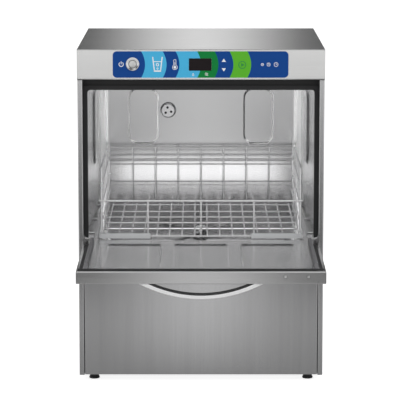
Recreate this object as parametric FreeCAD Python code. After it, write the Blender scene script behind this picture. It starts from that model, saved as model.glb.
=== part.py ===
import FreeCAD, Part
import math
import os

from FreeCAD import Vector

# An under-counter glass washer with its door let down: a folded steel cabinet, a pressed wash
# tank with two pairs of spray arms, a wire rack on rails, and pumps and boiler in the base.
# Lengths are millimetres. While the pieces are drawn, y = 0 is the cabinet's front plane and
# +Y runs to the back; save() then moves the origin to the middle of the open machine's plan.

# Driving dimensions
WIDTH = 600.0
DEPTH = 600.0
HEIGHT = 820.0
CLAD = 1.0              # cladding sheet
TANK_SHEET = 1.2
FOOT_HEIGHT = 16.0
FASCIA_BOTTOM = 746.0
STRIP_WIDTH = 13.4      # front flange of each side panel
BEND = 1.5              # inner radius of a folded edge

DOOR_REACH = 395.0      # open door in front of the cabinet
DOOR_THICK = 29.0
DOOR_HALF = 285.4
HINGE_Y = 14.0
HINGE_Z = 335.5
PIN_R = 6.0
FIT = 0.06              # running clearance of shafts, radial

TUB_FRONT = 36.0
TUB_BACK = 560.0
TUB_HALF_FRONT = 276.0
TUB_HALF_BACK = 266.0
TUB_CORNER = 24.0
TUB_FLOOR = 262.0
TUB_ROOF = 762.0
MOUTH_BOTTOM = 346.0
MOUTH_TOP = 718.0
SUMP_FLOOR = 200.0
ARM_Y = 298.0           # spray arms turn about the middle of the tank
RAIL_TOP = 350.5

RACK_BOTTOM = 351.0
RACK_FRONT = 38.0
RACK_SIZE = 500.0
RACK_TOP_SIDE = 524.0
RACK_TOP_REAR = 510.0
RACK_TOP_FRONT = 444.0
FRAME_R = 2.5           # rack frame wire
GRID_R = 1.75           # rack grid wire
UPRIGHT_R = 2.0
GRID_PITCH = 31.0

REAR_PORT = 20.0        # the water connections stand out behind the rear panel
SHIFT = Vector(0, (DOOR_REACH - DEPTH - REAR_PORT) / 2, 0)

X_AXIS = Vector(1, 0, 0)
Y_AXIS = Vector(0, 1, 0)
Z_AXIS = Vector(0, 0, 1)
TAU = 2 * math.pi


# Shape helpers

def save(name, shape):
    """Write one node, moved so that the origin lies under the middle of the open machine."""
    placed = shape.copy()
    placed.translate(SHIFT)
    placed.exportStep(f"parts/{name}.step")
    print(f"{name}: {len(placed.Solids)} solid(s), {placed.Volume / 1000:.1f} cm3, valid {placed.isValid()}")


def box(x, y, z):
    """Block between pairs of x, y and z."""
    corner = Vector(min(x), min(y), min(z))
    return Part.makeBox(abs(x[1] - x[0]), abs(y[1] - y[0]), abs(z[1] - z[0]), corner)


def rod(start, end, radius):
    """Round bar between two points."""
    run = end.sub(start)
    return Part.makeCylinder(radius, run.Length, start, run)


def fuse(shapes):
    """One solid out of several that touch or cross."""
    return shapes[0].multiFuse(shapes[1:]).removeSplitter()


def mirrored(shape):
    """The same piece on the other side of the machine."""
    return shape.mirror(Vector(0, 0, 0), X_AXIS)


def pair(shape):
    """A piece and its mirror image, as two solids in one node."""
    return Part.makeCompound([shape, mirrored(shape)])


def on_xy(z):
    return lambda u, v: Vector(u, v, z)


def on_xz(y):
    return lambda u, v: Vector(u, y, v)


def on_yz(x):
    return lambda u, v: Vector(x, u, v)


def side_edges(points, radii, place):
    """Edges of a polyline whose inner corners are rounded, and its two end points."""
    flat = [Vector(u, v, 0) for u, v in points]
    edges = []
    here = flat[0]
    for i in range(1, len(flat) - 1):
        into = flat[i].sub(flat[i - 1]).normalize()
        out = flat[i + 1].sub(flat[i]).normalize()
        turn = into.getAngle(out)
        radius = radii[i - 1]
        if radius < 1e-6 or turn < 1e-6:
            edges.append(Part.LineSegment(place(here.x, here.y), place(flat[i].x, flat[i].y)).toShape())
            here = flat[i]
            continue
        tangent = radius * math.tan(turn / 2)
        first = flat[i].sub(into * tangent)
        last = flat[i].add(out * tangent)
        toward = out.sub(into).normalize()
        centre = flat[i].add(toward * (radius / math.cos(turn / 2)))
        middle = centre.sub(toward * radius)
        if here.sub(first).Length > 1e-6:
            edges.append(Part.LineSegment(place(here.x, here.y), place(first.x, first.y)).toShape())
        bend = Part.Arc(place(first.x, first.y), place(middle.x, middle.y), place(last.x, last.y))
        edges.append(bend.toShape())
        here = last
    edges.append(Part.LineSegment(place(here.x, here.y), place(flat[-1].x, flat[-1].y)).toShape())
    return edges, place(*points[0]), place(*points[-1])


def fold(points, thickness, place, run, radii=None):
    """Folded sheet: an open section line, thickened to its left, with rounded bends, drawn out along run."""
    count = len(points) - 2
    bends = radii or [BEND] * count
    copy = []
    near = []
    far = []
    for i, (u, v) in enumerate(points):
        ends = [j for j in (i - 1, i) if 0 <= j < len(points) - 1]
        runs = [math.atan2(points[j + 1][1] - points[j][1], points[j + 1][0] - points[j][0]) for j in ends]
        if len(runs) == 1:
            heading = runs[0]
            copy.append((u - thickness * math.sin(heading), v + thickness * math.cos(heading)))
            continue
        turn = (runs[1] - runs[0] + math.pi) % TAU - math.pi
        back = thickness * math.tan(turn / 2)
        heading = runs[0]
        copy.append((u - thickness * math.sin(heading) - back * math.cos(heading),
                     v + thickness * math.cos(heading) - back * math.sin(heading)))
        bend = bends[i - 1]
        near.append(bend + thickness if turn > 0 else bend)
        far.append(bend if turn > 0 else bend + thickness)
    edges, a_start, a_end = side_edges(points, near, place)
    copied, b_start, b_end = side_edges(copy, far, place)
    edges += copied
    edges.append(Part.LineSegment(a_start, b_start).toShape())
    edges.append(Part.LineSegment(a_end, b_end).toShape())
    outline = Part.Wire(Part.__sortEdges__(edges))
    return Part.Face(outline).extrude(run)


def rounded_wire(u, v, radius, place):
    """Closed rectangle with rounded corners."""
    (u0, u1), (v0, v1) = u, v
    middle = (u0 + u1) / 2
    loop = [(middle, v0), (u1, v0), (u1, v1), (u0, v1), (u0, v0), (middle, v0)]
    edges, _, _ = side_edges(loop, [radius] * 4, place)
    return Part.Wire(edges)


def rounded_slab(u, v, radius, place, run):
    return Part.Face(rounded_wire(u, v, radius, place)).extrude(run)


def lathe(profile, base, axis):
    """Turned piece: (radius, distance along the axis) pairs round an axis through base."""
    side = Vector(0, 0, 1) if abs(axis.z) < 0.5 else Vector(1, 0, 0)
    points = [base.add(side * r).add(axis * h) for r, h in profile]
    edge = Part.makePolygon(points + [points[0]])
    return Part.Face(edge).revolve(base, axis, 360)


def tube(points, radius, bore, bend):
    """Hose or bent pipe: straight runs joined by tangent arcs, with a bore through it."""
    edges = []
    here = points[0]
    for i in range(1, len(points) - 1):
        into = points[i].sub(points[i - 1]).normalize()
        out = points[i + 1].sub(points[i]).normalize()
        turn = into.getAngle(out)
        tangent = bend * math.tan(turn / 2)
        first = points[i].sub(into * tangent)
        last = points[i].add(out * tangent)
        toward = out.sub(into).normalize()
        centre = points[i].add(toward * (bend / math.cos(turn / 2)))
        edges.append(Part.LineSegment(here, first).toShape())
        edges.append(Part.Arc(first, centre.sub(toward * bend), last).toShape())
        here = last
    edges.append(Part.LineSegment(here, points[-1]).toShape())
    spine = Part.Wire(edges)
    start = points[1].sub(points[0])

    def swept(r):
        ring = Part.Wire(Part.makeCircle(r, points[0], start))
        return spine.makePipeShell([ring], True, False)

    return swept(radius).cut(swept(bore)) if bore else swept(radius)


# Cabinet

STRIP_INNER = WIDTH / 2 - STRIP_WIDTH
PANEL_TOP = HEIGHT - CLAD
SIDE_OUTER = WIDTH / 2 - CLAD      # the cover's skirts and the fascia's ends lap over the side panels
REAR_INNER = DEPTH - 2 * CLAD
PIN_ROOM = 0.4                     # round the hinge pins where they pass through sheet
FLANGE_DEEP = 20.0                 # return flange beside the door's edge

INLET_R = 13.22                    # three-quarter inch pipe thread, over the crests
SPIGOT_R = 14.0
GLAND_R = 10.0
INLET_PORT = Vector(-200, REAR_INNER, 100)
SPIGOT_PORT = Vector(-90, REAR_INNER, 48)
GLAND_PORT = Vector(200, REAR_INNER, 90)
PORT_ROOT = DEPTH + 0.5            # hoses push on up to here


def side_panel_left():
    """Side panel folded to a front strip and a return flange beside the door."""
    section = [
        (STRIP_INNER, FLANGE_DEEP),
        (STRIP_INNER, 0),
        (SIDE_OUTER, 0),
        (SIDE_OUTER, REAR_INNER),
        (SIDE_OUTER - 16, REAR_INNER),
    ]
    lower = fold(section, CLAD, on_xy(FOOT_HEIGHT), Z_AXIS * (FASCIA_BOTTOM - 1 - FOOT_HEIGHT))
    upper = (FASCIA_BOTTOM - 10, PANEL_TOP)
    wall = box((SIDE_OUTER - CLAD, SIDE_OUTER), (4, REAR_INNER - 4), upper)
    flange = box((SIDE_OUTER - 16, SIDE_OUTER - 2), (REAR_INNER - CLAD, REAR_INNER), upper)
    corner = box((SIDE_OUTER - CLAD, SIDE_OUTER), (REAR_INNER - 4, REAR_INNER), upper)
    link = box((SIDE_OUTER - 2, SIDE_OUTER), (REAR_INNER - CLAD, REAR_INNER), upper)
    panel = fuse([lower, wall, flange, corner, link])
    start = Vector(STRIP_INNER - 5, HINGE_Y, HINGE_Z)
    hole = rod(start, start.add(X_AXIS * 10), PIN_R + PIN_ROOM)
    return mirrored(panel.cut(hole))


def rear_panel():
    """Back sheet with the holes for the services and two banks of air slots."""
    x = SIDE_OUTER - 0.2
    sheet = box((-x, x), (REAR_INNER, REAR_INNER + CLAD), (FOOT_HEIGHT, HEIGHT - 22))
    cuts = []
    for port, radius in ((INLET_PORT, INLET_R), (SPIGOT_PORT, SPIGOT_R), (GLAND_PORT, GLAND_R)):
        cuts.append(rod(port.sub(Y_AXIS * 2), port.add(Y_AXIS * 4), radius + 0.5))
    behind = on_xz(REAR_INNER - 2)
    for bank in (-150, 150):
        for row in range(6):
            z = 640 + 14 * row
            cuts.append(rounded_slab((bank - 45, bank + 45), (z, z + 5), 2.4, behind, Y_AXIS * 6))
    return sheet.cut(Part.makeCompound(cuts))


def top_cover():
    """Shallow lid with turned-down sides and back, and softened edges."""
    skirt = 20.0
    half = WIDTH / 2
    block = box((-half, half), (0, DEPTH), (HEIGHT - skirt, HEIGHT))
    soft = [
        e for e in block.Edges
        if (e.BoundBox.ZMin > HEIGHT - 0.1 and e.BoundBox.YMax > 1)
        or (e.BoundBox.ZLength > 1 and e.BoundBox.YMin > 1)
    ]
    block = block.makeFillet(2.0, soft)
    hollow = box((-half + CLAD, half - CLAD), (-1, DEPTH - CLAD), (HEIGHT - skirt - 1, HEIGHT - CLAD))
    front_notch = box((-half - 1, half + 1), (-1, 18), (HEIGHT - skirt - 1, HEIGHT - CLAD))
    return block.cut(hollow).cut(front_notch)


OVERLAY_X = (-213.0, 211.0)
OVERLAY_Z = (751.0, 815.0)
OVERLAY_THICK = 0.4
BUTTON = Vector(-165.0, 0, 784.3)
BUTTON_HOLE_R = 11.2
DISPLAY_X = (-29.4, 25.6)
DISPLAY_Z = (768.0, 798.0)
KEYS = {"up_key": Vector(55, 0, 793.5), "down_key": Vector(55, 0, 770.0), "start_key": Vector(95, 0, 782.0)}
KEY_R = 1.75
BOARD_Y = 16.0


def control_fascia():
    """Folded front of the control compartment, with its end flanges, openings and studs for the board."""
    half = WIDTH / 2
    section = [(26, PANEL_TOP), (0, PANEL_TOP), (0, FASCIA_BOTTOM), (24, FASCIA_BOTTOM)]
    front = fold(section, CLAD, on_yz(-half), X_AXIS * WIDTH)
    end = box((SIDE_OUTER, half), (0.5, 17.5), (FASCIA_BOTTOM + 0.5, PANEL_TOP - 0.5))
    studs = [rod(Vector(x, CLAD, z), Vector(x, BOARD_Y, z), 3) for x in (-70, 120) for z in (760, 807)]
    lips = box((SIDE_OUTER - CLAD - 0.4, SIDE_OUTER), (3, 30), (FASCIA_BOTTOM - 1, PANEL_TOP + 1))
    tips = box((SIDE_OUTER - CLAD - 0.4, half + 1), (17.6, 30), (FASCIA_BOTTOM - 1, PANEL_TOP + 1))
    trims = fuse([lips, tips])
    shell = fuse([front.cut(trims).cut(mirrored(trims)), end, mirrored(end)] + studs)
    window_x = (DISPLAY_X[0] + 3, DISPLAY_X[1] - 3)
    window_z = (DISPLAY_Z[0] + 3, DISPLAY_Z[1] - 3)
    cuts = [
        rod(Vector(BUTTON.x, -3, BUTTON.z), Vector(BUTTON.x, 3, BUTTON.z), BUTTON_HOLE_R),
        rounded_slab(window_x, window_z, 2, on_xz(-3), Y_AXIS * 6),
    ]
    for spot in KEYS.values():
        cuts.append(rod(Vector(spot.x, -3, spot.z), Vector(spot.x, 3, spot.z), KEY_R + 1))
    return shell.cut(Part.makeCompound(cuts))


def control_overlay():
    """Printed film over the middle of the fascia, cut out for the button and the window."""
    film = rounded_slab(OVERLAY_X, OVERLAY_Z, 10, on_xz(-OVERLAY_THICK), Y_AXIS * OVERLAY_THICK)
    hole = rod(Vector(BUTTON.x, -3, BUTTON.z), Vector(BUTTON.x, 3, BUTTON.z), BUTTON_HOLE_R)
    window = rounded_slab(DISPLAY_X, DISPLAY_Z, 2, on_xz(-3), Y_AXIS * 6)
    return film.cut(hole).cut(window)


def display_window():
    return rounded_slab(
        (DISPLAY_X[0] + 0.1, DISPLAY_X[1] - 0.1), (DISPLAY_Z[0] + 0.1, DISPLAY_Z[1] - 0.1), 2,
        on_xz(-OVERLAY_THICK - 0.3), Y_AXIS * (OVERLAY_THICK + 0.3))


def button_bezel():
    """Ring round the push button, its sleeve through the fascia and its nut behind."""
    base = Vector(BUTTON.x, 0, BUTTON.z)
    profile = [
        (9.4, -3.4), (10.4, -4.4), (14.2, -3.8), (16.0, -2.4), (16.0, -OVERLAY_THICK), (11.0, -OVERLAY_THICK),
        (11.0, 1.2), (15.0, 1.2), (15.0, 4.2), (11.0, 4.2), (11.0, 9.0), (9.4, 9.0),
    ]
    return lathe(profile, base, Y_AXIS)


def power_button():
    """Domed push button and the stem that reaches into the switch."""
    base = Vector(BUTTON.x, 0, BUTTON.z)
    crown = 9.0 - 0.4
    angles = [math.pi / 12 * i for i in range(1, 7)]
    dome = [(crown * math.sin(a), -6.8 + 2.2 * (1 - math.cos(a))) for a in angles]
    profile = [(0, -6.8)] + dome + [(crown, 4.5), (3.0, 4.5), (3.0, 14.0), (0, 14.0)]
    return lathe(profile, base, Y_AXIS)


def power_switch():
    """Switch block that the button's stem slides into."""
    block = box((BUTTON.x - 12, BUTTON.x + 12), (9, 34), (BUTTON.z - 12, BUTTON.z + 12))
    bore = rod(Vector(BUTTON.x, 8, BUTTON.z), Vector(BUTTON.x, 20, BUTTON.z), 3.0 + 0.4)
    room = rod(Vector(BUTTON.x, 8, BUTTON.z), Vector(BUTTON.x, 9.6, BUTTON.z), 9.6)
    legs = [
        box((BUTTON.x + dx - 0.4, BUTTON.x + dx + 0.4), (34, 42), (BUTTON.z - 3, BUTTON.z + 3))
        for dx in (-7, 0, 7)
    ]
    return fuse([block] + legs).cut(bore).cut(room)


def control_board():
    """Circuit board with its display block and the three key switches' bodies."""
    board = box((-75, 125), (BOARD_Y, BOARD_Y + 1.6), (755, 812))
    screen = box((DISPLAY_X[0] + 4, DISPLAY_X[1] - 4), (2.5, BOARD_Y), (DISPLAY_Z[0] + 4, DISPLAY_Z[1] - 4))
    parts = [board, screen]
    for spot in KEYS.values():
        parts.append(box((spot.x - 3, spot.x + 3), (BOARD_Y - 3.5, BOARD_Y), (spot.z - 3, spot.z + 3)))
    relay = [box((x, x + 20), (BOARD_Y + 1.6, BOARD_Y + 17), (770, 786)) for x in (-60, -30, 0)]
    board = fuse(parts + relay)
    bores = [
        rod(Vector(spot.x, BOARD_Y - 4, spot.z), Vector(spot.x, BOARD_Y - 0.5, spot.z), KEY_R + 0.3)
        for spot in KEYS.values()
    ]
    return board.cut(Part.makeCompound(bores))


def key_plunger(spot):
    """Actuator of one key switch, reaching from the board to just behind the film."""
    return rod(Vector(spot.x, 0.3, spot.z), Vector(spot.x, BOARD_Y - 1.5, spot.z), KEY_R)


PANEL_GAP = 1.2
LOWER_PANEL_TOP = 318.0
BUFFER_TOP = 320.8


def front_panel():
    """Lower front: a shallow pan, closed all round its edge, open to the back."""
    half = STRIP_INNER - PANEL_GAP
    z = (FOOT_HEIGHT + 1.0, LOWER_PANEL_TOP)
    block = box((-half, half), (0, 18), z)
    soft = [e for e in block.Edges if e.BoundBox.YMax < 0.1]
    block = block.makeFillet(1.5, soft)
    hollow = box((-half + CLAD, half - CLAD), (CLAD, 19), (z[0] + CLAD, z[1] - CLAD))
    return block.cut(hollow)


def door_buffers():
    """Two rubber pads on the lower panel's top edge, which carry the open door."""
    height = BUFFER_TOP - LOWER_PANEL_TOP
    pad = rounded_slab((222, 252), (3, 15), 4, on_xy(LOWER_PANEL_TOP), Z_AXIS * height)
    return pair(pad)


TRAY_FRONT = 21.0
TRAY_TOP = FOOT_HEIGHT + TANK_SHEET
FEET = [(x, y) for x in (-264.0, 264.0) for y in (40.0, 560.0)]
STEM_R = 5.0
DOSING_X = (-28.0, 38.0)


def base_tray():
    """Floor of the cabinet: a folded tray that carries the feet and everything in the base."""
    half = SIDE_OUTER - CLAD - 1.2
    back = REAR_INNER - CLAD - 1.2
    block = box((-half, half), (TRAY_FRONT, back), (FOOT_HEIGHT, FOOT_HEIGHT + 42))
    hollow = box(
        (-half + TANK_SHEET, half - TANK_SHEET), (TRAY_FRONT + TANK_SHEET, back - TANK_SHEET),
        (TRAY_TOP, FOOT_HEIGHT + 43))
    tray = fuse([block.cut(hollow), dosing_bracket()] + [weld_nut(x, y) for x, y in FEET])
    holes = [rod(Vector(x, y, FOOT_HEIGHT - 1), Vector(x, y, FOOT_HEIGHT + 12), STEM_R) for x, y in FEET]
    spigot_room = box((SPIGOT_PORT.x - 24, SPIGOT_PORT.x + 24), (back - 3, back + 1), (26, FOOT_HEIGHT + 43))
    return tray.cut(Part.makeCompound(holes + [spigot_room]))


def weld_nut(x, y):
    """Hexagon nut welded inside the tray over one foot."""
    turns = [math.pi / 3 * k for k in range(7)]
    corners = [Vector(x + 9.8 * math.cos(a), y + 9.8 * math.sin(a), TRAY_TOP) for a in turns]
    return Part.Face(Part.makePolygon(corners)).extrude(Z_AXIS * 8)


def foot(x, y):
    """Screw-in foot: a dished sole, a waist to grip and a stem through the tray."""
    profile = [
        (0, 0), (12.0, 0), (13.0, 1.0), (13.0, 4.0), (11.0, 6.5), (11.0, 12.0), (12.5, 14.0),
        (12.5, FOOT_HEIGHT), (STEM_R, FOOT_HEIGHT), (STEM_R, 38), (0, 38),
    ]
    return lathe(profile, Vector(x, y, 0), Z_AXIS)


# Wash tank

PAD_RISE = 4.0
BACK_PADS = (-153.0, 153.0)
BACK_PAD = (82.0, 150.0)
PAD_Z = 590.0
SIDE_PAD = (120.0, 190.0)
SIDE_PAD_Y = 318.0


def raised_pad(origin, along, inward, size):
    """Stiffening pad pressed into a wall: the metal it adds inside and the hollow it leaves outside."""
    wide, tall = size
    slope = 5.0

    def ring(half_w, half_h, level, radius):
        place = lambda u, v: origin.add(along * u).add(Z_AXIS * v).add(inward * level)
        return rounded_wire((-half_w, half_w), (-half_h, half_h), radius, place)

    def frustum(shrink, base, top):
        wires = [
            ring(wide / 2 - shrink, tall / 2 - shrink, base, 26 - shrink),
            ring(wide / 2 - shrink - slope, tall / 2 - shrink - slope, top, 22 - shrink),
        ]
        return Part.makeLoft(wires, True, True)

    return frustum(0, -TANK_SHEET / 2, PAD_RISE), frustum(TANK_SHEET, -TANK_SHEET - 1, PAD_RISE - TANK_SHEET)


def tub_plan(grow, z):
    """Plan of the tank: open towards the front, a little narrower at the back, with round rear corners."""
    front = TUB_HALF_FRONT + grow
    back = TUB_HALF_BACK + grow
    points = [
        (0, TUB_FRONT), (front, TUB_FRONT), (back, TUB_BACK + grow),
        (-back, TUB_BACK + grow), (-front, TUB_FRONT), (0, TUB_FRONT),
    ]
    radii = [0, TUB_CORNER + grow, TUB_CORNER + grow, 0]
    edges, _, _ = side_edges(points, radii, on_xy(z))
    return Part.Face(Part.Wire(edges))


def sump(grow):
    """Well of the tank: a draughted rounded box under the floor."""
    top = rounded_wire((-170 - grow, 170 + grow), (130 - grow, 466 + grow), 40, on_xy(TUB_FLOOR + 0.2))
    bottom = rounded_wire((-140 - grow, 140 + grow), (160 - grow, 436 + grow), 36, on_xy(SUMP_FLOOR - grow))
    return Part.makeLoft([top, bottom], True, True)


SUCTION = Vector(50, 230, SUMP_FLOOR)
DRAIN = Vector(-90, 400, SUMP_FLOOR)
BOSS = Vector(-87, TUB_BACK, 606)
HEATER_X = (-60.0, -30.0)
HEATER_Z = 216.0


def wash_tank():
    """Pressed and welded tank: tapered walls with round rear corners, raised pads, flange and sump."""
    t = TANK_SHEET
    outer = fuse([tub_plan(t, TUB_FLOOR - t).extrude(Z_AXIS * (TUB_ROOF - TUB_FLOOR + 2 * t)), sump(t)])
    inner = fuse([tub_plan(0, TUB_FLOOR).extrude(Z_AXIS * (TUB_ROOF - TUB_FLOOR)), sump(0)])
    shell = outer.cut(inner)
    flange = box((-297.5, 297.5), (TUB_FRONT, TUB_FRONT + t), (TUB_FLOOR - t, TUB_ROOF + t))
    opening = TUB_HALF_FRONT - 0.2
    mouth = rounded_slab(
        (-opening, opening), (MOUTH_BOTTOM, MOUTH_TOP), 8, on_xz(TUB_FRONT - 2), Y_AXIS * 5)
    shell = fuse([shell, flange]).cut(mouth)
    lean = math.atan2(TUB_HALF_FRONT - TUB_HALF_BACK, TUB_BACK - TUB_FRONT)
    wall_x = TUB_HALF_FRONT - (SIDE_PAD_Y - TUB_FRONT) * math.tan(lean)
    pads = [raised_pad(Vector(x, TUB_BACK, PAD_Z), X_AXIS, Vector(0, -1, 0), BACK_PAD) for x in BACK_PADS]
    for side in (-1, 1):
        along = Vector(-side * math.sin(lean), math.cos(lean), 0)
        inward = Vector(-side * math.cos(lean), -math.sin(lean), 0)
        pads.append(raised_pad(Vector(side * wall_x, SIDE_PAD_Y, PAD_Z + 4), along, inward, SIDE_PAD))
    shell = fuse([shell] + [raised for raised, _ in pads])
    shell = shell.cut(Part.makeCompound([hollow for _, hollow in pads]))
    holes = [
        rod(Vector(SUCTION.x, SUCTION.y, SUMP_FLOOR - 3), Vector(SUCTION.x, SUCTION.y, SUMP_FLOOR + 3), 11),
        rod(Vector(DRAIN.x, DRAIN.y, SUMP_FLOOR - 3), Vector(DRAIN.x, DRAIN.y, SUMP_FLOOR + 3), 15.5),
        rod(Vector(0, ARM_Y, SUMP_FLOOR - 3), Vector(0, ARM_Y, SUMP_FLOOR + 3), 8.5),
        rod(Vector(0, ARM_Y, TUB_ROOF - 3), Vector(0, ARM_Y, TUB_ROOF + 3), 8.5),
    ]
    for x in HEATER_X:
        holes.append(rod(Vector(x, 400, HEATER_Z), Vector(x, 460, HEATER_Z), 4.4))
    return shell.cut(Part.makeCompound(holes))


def door_seal():
    """Rubber lip round three sides of the mouth, with a thin web that runs up behind the fascia."""
    lip = 11.0
    half = TUB_HALF_FRONT + lip
    outer = rounded_slab((-half, half), (354, MOUTH_TOP + lip), 9, on_xz(TUB_FRONT - 6.5), Y_AXIS * 6.5)
    web = box((-half, half), (TUB_FRONT - 2.5, TUB_FRONT), (MOUTH_TOP + 2, FASCIA_BOTTOM - 2))
    inner = rounded_slab(
        (-TUB_HALF_FRONT, TUB_HALF_FRONT), (300, MOUTH_TOP), 7, on_xz(TUB_FRONT - 8), Y_AXIS * 9)
    return fuse([outer, web]).cut(inner)


def wall_boss():
    """Round outlet on the back wall, with a rim and three holes."""
    base = Vector(BOSS.x, TUB_BACK, BOSS.z)
    profile = [(0, 0), (21.0, 0), (21.0, -2.0), (18.5, -4.0), (18.5, -15.0), (16.5, -18.0), (0, -18.0)]
    body = lathe(profile, base, Y_AXIS)
    holes = []
    for angle in (100, 220, 340):
        x = BOSS.x + 8.5 * math.cos(math.radians(angle))
        z = BOSS.z + 8.5 * math.sin(math.radians(angle))
        holes.append(rod(Vector(x, TUB_BACK - 20, z), Vector(x, TUB_BACK - 10, z), 3.2))
    return body.cut(Part.makeCompound(holes))


def wall_at(y):
    """Half width of the tank at a depth."""
    return TUB_HALF_FRONT - (TUB_HALF_FRONT - TUB_HALF_BACK) * (y - TUB_FRONT) / (TUB_BACK - TUB_FRONT)


def rack_rail_right():
    """Angle that carries one side of the rack, held off the wall by three distance pieces."""
    section = [(243, RAIL_TOP), (261, RAIL_TOP), (261, RAIL_TOP + 13)]
    angle = fold(section, -1.5, on_xz(46), Y_AXIS * 490, radii=[1.5])
    z = RAIL_TOP + 7
    pegs = [rod(Vector(261, y, z), Vector(wall_at(y) - 0.05, y, z), 4) for y in (80, 290, 500)]
    return fuse([angle] + pegs)


# Spray arms

SHAFT_R = 8.0


def spray_arm(z_near, z_far, bore):
    """Wash arm: a hollow-formed blade, widest at its hub, with a row of jets on the face towards the rack."""
    up = 1 if z_far > z_near else -1
    tall = abs(z_far - z_near)
    middle = (z_near + z_far) / 2
    reach = 225.0
    sections = []
    for x, half_w, half_h in ((-reach, 9, 3.5), (-reach + 12, 13, 5), (-60, 17, 7), (60, 17, 7),
                              (reach - 12, 13, 5), (reach, 9, 3.5)):
        place = lambda u, v, x=x: Vector(x, ARM_Y + u, middle + v)
        sections.append(rounded_wire((-half_w, half_w), (-half_h, half_h), min(half_h, half_w) * 0.75, place))
    blade = Part.makeLoft(sections, True, True)
    hub = rod(Vector(0, ARM_Y, middle - tall / 2), Vector(0, ARM_Y, middle + tall / 2), 22)
    jets = []
    slots = []
    for side in (-1, 1):
        for k in range(5):
            x = side * (48 + 38 * k)
            height = 7 - 2 * max(0, abs(x) - 60) / (reach - 72)
            base = Vector(x, ARM_Y + side * 3, middle + up * (height - 1.5))
            jets.append(Part.makeCone(6.5, 4.5, 4.5, base, Z_AXIS * up))
            tip = middle + up * (height + 3)
            y = ARM_Y + side * 3
            slots.append(box((x - 0.8, x + 0.8), (y - 5, y + 5), (tip - 1.2, tip + 1.2)))
    arm = fuse([blade, hub] + jets).cut(Part.makeCompound(slots))
    hole = rod(Vector(0, ARM_Y, middle - tall), Vector(0, ARM_Y, middle + tall), bore)
    return arm.cut(hole)


def rinse_arm(z_near, z_far, bore):
    """Rinse arm: a slim tube through a small hub, with fine jets."""
    up = 1 if z_far > z_near else -1
    middle = (z_near + z_far) / 2
    tall = abs(z_far - z_near)
    reach = 205.0
    turn = math.radians(64)
    way = Vector(math.cos(turn), math.sin(turn), 0)
    centre = Vector(0, ARM_Y, middle)
    pipe = rod(centre.sub(way * reach), centre.add(way * reach), 5.5)
    plugs = [
        rod(centre.add(way * (s * (reach - 8))), centre.add(way * (s * (reach + 3))), 6.5) for s in (-1, 1)
    ]
    hub = rod(Vector(0, ARM_Y, middle - tall / 2), Vector(0, ARM_Y, middle + tall / 2), 15)
    jets = []
    for s in (-1, 1):
        for k in range(5):
            foot_point = centre.add(way * (s * (42 + 36 * k)))
            jets.append(rod(foot_point, foot_point.add(Z_AXIS * (up * 7.5)), 2.6))
    arm = fuse([pipe, hub] + plugs + jets)
    return arm.cut(rod(Vector(0, ARM_Y, middle - tall), Vector(0, ARM_Y, middle + tall), bore))


def spindle(z_root, z_shoulder, z_tip, below):
    """Fixed post that feeds and carries one pair of arms: block beyond the wall, column, shaft and cap."""
    up = 1 if z_tip > z_root else -1
    length = abs(z_tip - z_root)
    shoulder = abs(z_shoulder - z_root)
    profile = [(0, -TANK_SHEET)]
    if below:
        profile = [(0, -TANK_SHEET - below), (22, -TANK_SHEET - below), (22, -TANK_SHEET)]
    profile += [
        (8.5, -TANK_SHEET), (8.5, 0), (24, 0), (24, 3), (13, 6), (13, shoulder), (SHAFT_R, shoulder),
        (SHAFT_R, length - 8), (13, length - 8), (13, length - 3), (10, length), (0, length),
    ]
    return lathe(profile, Vector(0, ARM_Y, z_root), Z_AXIS * up)


LOWER_SHOULDER = 288.0
UPPER_SHOULDER = 750.0


# Door, drawn open

DOOR_FACE_Z = HINGE_Z - DOOR_THICK / 2
DOOR_IN_Z = HINGE_Z + DOOR_THICK / 2
DOOR_EDGE_R = DOOR_THICK / 2
SEAL_STRIP = (-DOOR_REACH + 4.2, -357.0)
STRIP_ARM = (271.2, 279.2)      # groove for the rubber strip along each side of the door
STRIP_BACK = -40.0


def pin_hole(x0, x1, radius):
    return rod(Vector(x0, HINGE_Y, HINGE_Z), Vector(x1, HINGE_Y, HINGE_Z), radius)


def door_outer_skin():
    """Outside of the door: one sheet folded round the front edge and rolled round the hinge line."""
    back = HINGE_Y + DOOR_EDGE_R
    section = [
        (-DOOR_REACH + 4, DOOR_IN_Z), (-DOOR_REACH, DOOR_IN_Z), (-DOOR_REACH, DOOR_FACE_Z),
        (back, DOOR_FACE_Z), (back, DOOR_IN_Z), (0, DOOR_IN_Z),
    ]
    radii = [BEND, BEND, DOOR_EDGE_R - CLAD - 0.01, DOOR_EDGE_R - CLAD - 0.01]
    wrap = fold(section, CLAD, on_yz(-DOOR_HALF), X_AXIS * (2 * DOOR_HALF), radii=radii)
    ends = []
    outline = [
        (-100, DOOR_FACE_Z), (back, DOOR_FACE_Z), (back, DOOR_IN_Z - 1.2), (-DOOR_REACH, DOOR_IN_Z - 1.2),
        (-DOOR_REACH, DOOR_FACE_Z), (-100, DOOR_FACE_Z),
    ]
    edges, _, _ = side_edges(outline, [DOOR_EDGE_R, DOOR_EDGE_R - 1.3, 0, BEND + CLAD], on_yz(-DOOR_HALF))
    ends.append(Part.Face(Part.Wire(edges)).extrude(X_AXIS * CLAD))
    ends.append(mirrored(ends[0]))
    skin = fuse([wrap] + ends)
    return skin.cut(pin_hole(-DOOR_HALF - 2, DOOR_HALF + 2, PIN_R + PIN_ROOM))


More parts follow.
